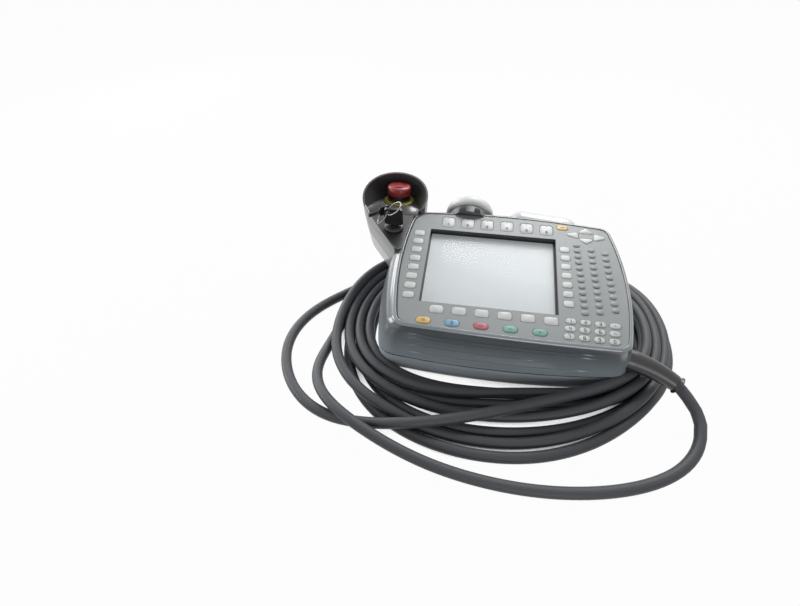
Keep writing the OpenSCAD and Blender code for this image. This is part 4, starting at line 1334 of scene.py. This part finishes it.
    def front(self, paint: Paint) -> None:
        """Front shell and rim: from the joint up the grooved wall, round the rim and down to the overlay.

        The rim's first quarter turn runs from the wall to its top, its second one down to the overlay.

        Args:
            paint: the finishes.
        """
        across = np.array([-self.groove_half, -0.7, -0.4, 0, 0.4, 0.7, self.groove_half])
        grooves = np.concatenate([z + across for z, _ in self.grooves])
        levels = np.unique(np.r_[-self.joint + 1.4, np.linspace(-self.joint + 2.5, -6, 14), grooves])
        wall = [self.girth(inset, up - self.joint) for inset, up in ((self.wall, 0.0), *self.foot)]
        wall += [self.wall_ring(z) for z in levels]
        rim = [lifted(self.outline(0.04, 0.16, self.rim_edge * (1 - math.cos(a))),
                      self.rim_rise - self.rim_edge * (1 - math.sin(a))) for a in quarter(13)]
        rim += [lifted(self.outline(0.02, 0.08, self.rim_w - self.rim_lip * (1 - math.sin(a))),
                       self.rim_rise - self.rim_lip * (1 - math.cos(a))) for a in quarter(4)]
        foot = [lifted(self.outline(0, 0, inset), -self.rim_foot) for inset in (self.rim_w, self.rim_w + 3)]
        place("front_rim", Form().belt(rim[3:]), paint.rim, "housing", (), 60.0)
        place("front_shell_skin", Form().belt(wall + rim[:4] + rim[-1:] + foot), paint.front, "housing",
              ("front_shell",), 40.0)
        # The finger rest's pale finish is a painted reflection.
        rest = Form().stack(self.finger_rest(), Cap.POLE, Cap.POLE)
        place("finger_rest", rest, paint.pale, "puck_light", (), 60.0)

    def finger_rest(self) -> Array:
        """The swelling behind the top edge: a round bar with ball ends, as rings across its line.

        Returns:
            The rings' points, as rings by sides by 3.
        """
        ends = np.array([[x, self.reach_back + y, self.rest_z] for x, y in self.rest_ends])
        ahead = unit(ends[1] - ends[0])
        side = np.cross(ahead, [0, 0, 1.0])
        tilt = np.r_[np.linspace(-89, 0, 12), np.linspace(0, 89, 12)]
        middle = np.where(tilt[:, None] < 0, ends[0], ends[1])
        middle[11], middle[12] = ends
        r, along = self.rest_r * np.cos(np.radians(tilt)), self.rest_r * np.sin(np.radians(tilt))
        around = np.linspace(0, 2 * np.pi, 40, endpoint=False)[None, :, None]
        return (middle + along[:, None] * ahead)[:, None] + r[:, None, None] * (
            np.cos(around) * side + np.sin(around) * np.array([0, 0, 1.0]))

    def rear(self, paint: Paint) -> None:
        """Rear shell: a straight wall, a round belly and the flat back with its sunk screws and switches.

        Args:
            paint: the finishes.
        """
        rings = [self.girth(self.belly * (1 - math.sin(a)), self.belly * (1 - math.cos(a)) - self.depth)
                 for a in quarter(13)]
        top = -self.joint - self.gasket
        rings += [self.girth(inset, top + up) for inset, up in (*self.rear_wall, (self.wall, 0))]
        rings.append(self.girth(self.floor_inset, self.floor_z - self.depth))
        form = Form().stack(rings, high=Cap.FLAT)
        circle = np.linspace(0, 360, 32, endpoint=False)
        wells = [(polar(at, self.screw_r, circle), self.screw_depth) for at in self.screws()]
        for x, y, upright in self.switches():
            length, width, r = self.switch_size
            bar = rounded(box_corners(length, width, r), r + self.switch_play)
            bar = bar[:, ::-1] * [-1, 1] if upright else bar
            wells.append((bar + [x, y], self.well))
        wells.append((polar(self.button_at, self.button_r, circle), self.well))
        form.flat([self.outline(1, 1, self.belly), *[loop for loop, _ in wells]], -self.depth)
        for loop, deep in wells:
            form.stack([lifted(loop, -self.depth), lifted(loop, deep - self.depth)], high=Cap.FLAT)
        place("rear_shell_skin", form, paint.rear, "housing", ("rear_shell",), 40.0, merge=2e-6)

    def screws(self) -> list[tuple[float, float]]:
        """Where the shells' screws stand, near the four corners.

        Returns:
            The x and y of each.
        """
        left, right, front, back = -self.reach_left, self.reach_right, -self.reach_front, self.reach_back
        return [(left - 3, front + 5.5), (right + 4, front + 25.5),
                (right - 2, back - 27), (left - 5, back - 6)]

    def switches(self) -> list[tuple[float, float, bool]]:
        """Where the enabling switches lie, and whether they stand upright."""
        return [(-self.reach_left - 6, 12, True), (22, self.reach_back - 15, False),
                (self.reach_right - 15, 8, True)]


# ---------------------------------------------------------------- the keypad

@dataclass(frozen=True)
class Key:
    """One key cap: where it lies, its corner centres and corner radius, in mm."""

    at: tuple[float, float]
    corners: Array
    r: float


def box_key(at: tuple[float, float], w: float, h: float, r: float) -> Key:
    """A key with a rounded box for its outline."""
    return Key(at, box_corners(w, h, r), r)


def arrow_key(at: tuple[float, float], length: float, base: float, turn: float, r: float = 2.4) -> Key:
    """A key with a rounded arrowhead for its outline."""
    return Key(at, arrow_corners(length, base, r, turn), r)


# Strokes of the printed figures, on a grid two units wide and four high
GLYPHS: dict[str, tuple] = {
    "0": (((0, 0), (2, 0), (2, 4), (0, 4), (0, 0)),), "1": (((1, 0), (1, 4)),),
    "2": (((0, 4), (2, 4), (2, 2), (0, 2), (0, 0), (2, 0)),),
    "3": (((0, 4), (2, 4), (2, 2), (0, 2)), ((2, 2), (2, 0), (0, 0))),
    "4": (((0, 4), (0, 2), (2, 2)), ((2, 4), (2, 0))),
    "5": (((2, 4), (0, 4), (0, 2), (2, 2), (2, 0), (0, 0)),),
    "6": (((2, 4), (0, 4), (0, 0), (2, 0), (2, 2), (0, 2)),), "7": (((0, 4), (2, 4), (2, 0)),),
    "8": (((0, 0), (2, 0), (2, 4), (0, 4), (0, 0)), ((0, 2), (2, 2))),
    "9": (((2, 2), (0, 2), (0, 4), (2, 4), (2, 0), (0, 0)),), "-": (((0, 2), (2, 2)),),
    ".": (((1, 1.6), (1, 2.4)),), "+": (((-0.2, 2), (2.2, 2)), ((1, 0.9), (1, 3.1))),
    "=": (((-0.6, 2.8), (2.6, 2.8)), ((-0.6, 1.2), (2.6, 1.2))),
    "O": (((-0.6, 1), (2.6, 1), (2.6, 3), (-0.6, 3), (-0.6, 1)),),
    "<": (((3, 3.2), (3, 2), (-1, 2)), ((0, 3), (-1, 2), (0, 1)))}


@dataclass
class Keypad:
    """The overlay, its letter domes and every key cap, in the panel's frame, in mm."""

    housing: Housing
    crown: float = 45.0
    rise: float = 1.2
    shoulder: float = 0.8
    foot: float = -4.2
    play: float = 0.35
    sheet: float = 1.0
    # Width, height and corner radius of the keys, and the pitch of their rows and columns
    left_size: tuple = (14, 10, 3)
    left_pitch: float = 15.44
    right_size: tuple = (12.5, 9.5, 3)
    right_pitch: float = 15.0
    numeric_size: tuple = (12.4, 7.6, 3.496)
    numeric_pitch: tuple[float, float] = (16.5, 11.1)
    enter_size: tuple = (15, 8.6, 3.956)
    menu_size: tuple = (17, 19.5, 4)
    menu_pitch: float = 26.2
    soft_size: tuple = (16.5, 12, 3)
    soft_pitch: float = 26.73
    colour_size: tuple = (17, 9.5, 4.37)
    colour_pitch: float = 33.5
    # The arrow keys: their place from the middle of the four, length, base and turn
    arrows: tuple = (("left", -17.7, 0, 16, 12, 180), ("up", 0, 9.3, 10.5, 17, 90),
                     ("right", 17.2, -2, 15.5, 12, 0), ("down", -0.4, -10.2, 10.5, 17, -90))
    dome_size: tuple[float, float, float] = (9.0, 6.0, 2.9)
    dome_rise: float = 1.5
    dome_r: float = 12.0
    # Columns of letter domes: the ends' x from the right reach, the ends' y, and how many
    dome_columns: tuple = ((-39, -35, 55, -56, 12), (-21, -18, 48, -53, 11), (-4, 0, 44, -48, 10))
    stroke: float = 0.85

    def crown_z(self, x: Array, y: Array) -> Array:
        """Height of a key's crown: a sphere's top over the key's middle."""
        return self.rise - self.crown + np.sqrt(self.crown ** 2 - x ** 2 - y ** 2)

    def keys(self) -> dict[str, list[Key]]:
        """Every key by its CAD node: rows and columns at their pitch, some bent a little with the outline.

        Returns:
            The keys of each node.
        """
        h = self.housing
        right, left, front, back = h.reach_right, h.reach_left, h.reach_front, h.reach_back
        along, down = self.numeric_pitch
        groups = {
            "left_status_keys": [box_key((-left - 4.5, -1.1 + (3.5 - i) * self.left_pitch), *self.left_size)
                                 for i in range(8)],
            "right_status_keys": [box_key((right - 53.9 + 0.23 * (i - 3), (3 - i) * self.right_pitch),
                                          *self.right_size) for i in range(7)],
            "numeric_keys": [box_key((right - 28.7 + (c - 1.5) * along - 1.4 * (r - 1),
                                      1.8 - front - (r - 1) * down - 0.26 * (c - 1.5)), *self.numeric_size)
                             for r in range(3) for c in range(4)],
            "enter_key": [box_key((right - 56, back + 9), *self.enter_size)]}
        for name, x, y, length, base, turn in self.arrows:
            groups[f"arrow_key_{name}"] = [arrow_key((right - 26 + x, back - 3 + y), length, base, turn)]
        for i in range(6):
            off = i - 2.5
            groups[f"menu_key_{i + 1}"] = [
                box_key((5.45 + off * self.menu_pitch, back + 2.5 - 0.11 * off ** 2), *self.menu_size)]
            groups[f"softkey_{i + 1}"] = [
                box_key((6.9 + off * self.soft_pitch, 11.2 - front - 0.09 * off ** 2), *self.soft_size)]
        for i in range(5):
            groups[f"colour_key_{i + 1}"] = [
                box_key((-6.4 + (i - 2) * self.colour_pitch, -front - 7.5), *self.colour_size)]
        return groups

    def cap_rings(self, key: Key) -> Array:
        """A key cap's rings: up its side, over a round shoulder and in over the crown.

        Args:
            key: the key.

        Returns:
            The rings' points, as rings by sides by 3.
        """
        rings = [lifted(rounded(key.corners, key.r), self.foot)]
        for a in quarter(5):
            plan = rounded(key.corners, key.r - self.shoulder * (1 - math.cos(a)))
            rings.append(lifted(plan, self.crown_z(*plan.T) - self.shoulder * (1 - math.sin(a))))
        rings += [lifted(plan * s, self.crown_z(*(plan * s).T)) for s in (0.8, 0.5, 0.2)]
        return np.stack(rings) + [*key.at, 0]

    def dome_rings(self) -> Array:
        """A letter dome's rings: its round outline drawn in over the top of a sphere, with a soft foot.

        Returns:
            The rings' points, as rings by sides by 3.
        """
        plan = rounded_box(*self.dome_size, 5)
        rings = [lifted(plan, 0.0)]
        for s, height in ((1.0, 0.75), (0.97, 1), (0.9, 1), (0.6, 1), (0.3, 1)):
            q = plan * s
            dome = self.dome_rise - self.dome_r + np.sqrt(self.dome_r ** 2 - (q ** 2).sum(1))
            rings.append(lifted(q, dome * height))
        return np.stack(rings)

    def overlay(self, paint: Paint) -> None:
        """The overlay sheet with an opening for each key, its turned-in edges and the letter domes.

        Args:
            paint: the finishes.
        """
        h = self.housing
        loops = [h.outline(0, 0, h.rim_w + 0.3), rounded_box(*h.screen, 0.8, 3),
                 *[rounded(k.corners, k.r + self.play) + k.at for g in self.keys().values() for k in g]]
        form = Form()
        for z in (0.0, -self.sheet):
            form.flat(loops, z)
        for loop in loops:
            form.stack([lifted(loop, 0.0), lifted(loop, -self.sheet)])
        for x0, x1, y0, y1, n in self.dome_columns:
            for t in np.linspace(0, 1, n):
                at = [h.reach_right + lerp(x0, x1, t), lerp(y0, y1, t), 0]
                form.stack(self.dome_rings() + at, Cap.FLAT, Cap.POLE)
        place("keypad_overlay_skin", form, paint.overlay, "overlay", ("keypad_overlay",), 40.0, merge=2e-6)

    def mark(self, form: Form, key: Key, sign: str, size: float, at: Sequence[float] = (0.0, 0.0)) -> None:
        """Lays a printed figure on a key's crown, each stroke as a thin bar with square ends.

        Args:
            form: the form that takes the print.
            key: the key under it.
            sign: the figure, one of GLYPHS.
            size: one unit of its grid in mm.
            at: the figure's middle, from the key's middle.
        """
        for line in GLYPHS[sign]:
            p = (np.array(line, float) - [1, 2]) * size + np.array(at)
            for a, b in zip(p[:-1], p[1:]):
                ahead = unit(b - a) * self.stroke / 2
                side = np.array([-ahead[1], ahead[0]])
                plan = np.stack([a - ahead - side, b + ahead - side, b + ahead + side, a - ahead + side])
                top = self.crown_z(*plan.T)
                rings = np.stack([lifted(plan, top - 0.2), lifted(plan, top + 0.07)]) + [*key.at, 0]
                form.stack(rings, Cap.FLAT, Cap.FLAT)

    def prints(self, paint: Paint) -> None:
        """Plain numbers and generic marks on the numeric, menu, coloured and enter keys.

        Args:
            paint: the finishes.
        """
        groups = self.keys()
        numbers = zip(groups["numeric_keys"], "123.456-7890")
        marks = {"numeric_keys": [(key, sign, 1.0) for key, sign in numbers]}
        for i in range(6):
            node = f"menu_key_{i + 1}"
            marks[node] = [(groups[node][0], str(i + 1), 0.8, (0, -4.4)), (groups[node][0], ".", 0.9, (0, 6.4))]
        for i, sign in enumerate("=8O-+"):
            node = f"colour_key_{i + 1}"
            marks[node] = [(groups[node][0], sign, 1.1)]
        marks["enter_key"] = [(groups["enter_key"][0], "<", 1.0)]
        for node, rows in marks.items():
            form = Form()
            for row in rows:
                self.mark(form, *row)
            place(node + "_print", form, paint.ink, "black_plastic", body=node)

    def build(self, paint: Paint) -> None:
        """The overlay, every key cap and the prints.

        Args:
            paint: the finishes.
        """
        self.overlay(paint)
        yellow, green = (paint.yellow_key, "key_yellow"), (paint.green_key, "key_green")
        colours = {"enter_key": yellow, "colour_key_1": yellow, "colour_key_2": (paint.blue_key, "key_blue"),
                   "colour_key_3": (paint.red_key, "key_red"), "colour_key_4": green, "colour_key_5": green}
        for node, keys in self.keys().items():
            form = Form()
            for key in keys:
                form.stack(self.cap_rings(key), Cap.FLAT, Cap.POLE)
            place(node + "_cap", form, *colours.get(node, (paint.white_key, "key_white")), (node,), 50.0, node)
        self.prints(paint)


@dataclass
class Screen:
    """The recess, the window and the display behind it, in the panel's frame, in mm."""

    housing: Housing
    corner: float = 0.8
    # The recess's section: how far inside the opening, and how high
    section: tuple = ((0.02, 0.02), (0.25, -0.1), (0.35, -0.35), (0.35, -6.9), (2.2, -6.95), (2.2, -6.98),
                      (0.02, -6.98))
    panel_margin: float = 9.0
    panel_z: tuple[float, float] = (-20.0, -9.0)
    socket: tuple[float, float] = (60.0, 40.0)
    socket_z: tuple[float, float] = (-24.0, -19.5)

    def build(self, paint: Paint) -> None:
        """The recess's four walls, the window's finish and the display with the socket on its back.

        Args:
            paint: the finishes.
        """
        w, d = self.housing.screen
        rings = [lifted(rounded_box(w - 2 * inset, d - 2 * inset, self.corner, 3), z)
                 for inset, z in self.section]
        place("screen_recess", Form().belt(rings), paint.recess, "gasket", (), 30.0)
        dress("display_window", paint.glass)
        form = Form()
        for size, levels in (((w + self.panel_margin, d + self.panel_margin), self.panel_z),
                             (self.socket, self.socket_z)):
            form.stack([lifted(rounded_box(*size, 0.5, 2), z) for z in levels], Cap.FLAT, Cap.FLAT)
        place("display_module_skin", form, paint.lcd, "display", ("display_module",), 30.0)


# ---------------------------------------------------------------- the smooth copies, and the whole

def lead_fittings(paint: Paint) -> list[bpy.types.Object]:
    """The pieces on the lead: its sleeve, and smooth copies of its connector and coupling ring."""
    return [Sleeve().build(paint), smooth_copy("cable_connector", paint.nickel, "connector_metal"),
            smooth_copy("connector_ring", paint.nickel, "connector_metal", "connector_ring")]


def carried_over(paint: Paint) -> None:
    """Smooth copies of the CAD nodes whose shape is right, and finishes for the nodes that stay.

    Args:
        paint: the finishes.
    """
    rows = (("control_housing", paint.lobe, "lobe"), ("control_lid", paint.lid, "housing"),
            ("control_cover", paint.face, "lobe_cover"), ("estop_cap", paint.red, "estop_red"),
            ("estop_stem", paint.black, "black_plastic"), ("estop_ring", paint.yellow, "estop_yellow"),
            ("mode_lock_body", paint.black, "black_plastic"), ("mode_lock_barrel", paint.steel, "key_metal"),
            ("selector_key", paint.black, "black_plastic"), ("key_ring", paint.steel, "key_metal"),
            ("spare_key", paint.black, "black_plastic"), ("puck_base", paint.puck_dark, "puck_dark"),
            ("puck_carrier", paint.puck_dark, "puck_dark"), ("puck_cap", paint.puck, "puck_light"),
            *((f"enabling_switch_{side}", paint.grey, "switch_grey") for side in ("left", "middle", "right")),
            ("start_button", paint.green, "start_green"))
    fixed = {"control_housing", "control_lid", "control_cover", "estop_ring", "mode_lock_body", "puck_base"}
    for node, finish, slot in rows:
        smooth_copy(node, finish, slot, "housing" if node in fixed else node)
    for node, finish in (("shell_gasket", paint.gasket), ("keypad_board", paint.board),
                         ("housing_screws", paint.screw), ("estop_contact_block", paint.black),
                         ("cable_gland", paint.black)):
        dress(node, finish)


def main() -> None:
    """Builds the scene in order and reports each piece."""
    studio = Studio()
    studio.camera()
    paint = Paint()
    Lead().build(paint, lead_fittings(paint))
    carried_over(paint)
    housing = Housing()
    housing.front(paint)
    housing.rear(paint)
    Keypad(housing).build(paint)
    Screen(housing).build(paint)
    studio.build()
    bpy.context.scene.view_settings.view_transform = "Standard"


if __name__ == "__main__":
    logging.basicConfig(level=logging.INFO, format="%(message)s")
    main()
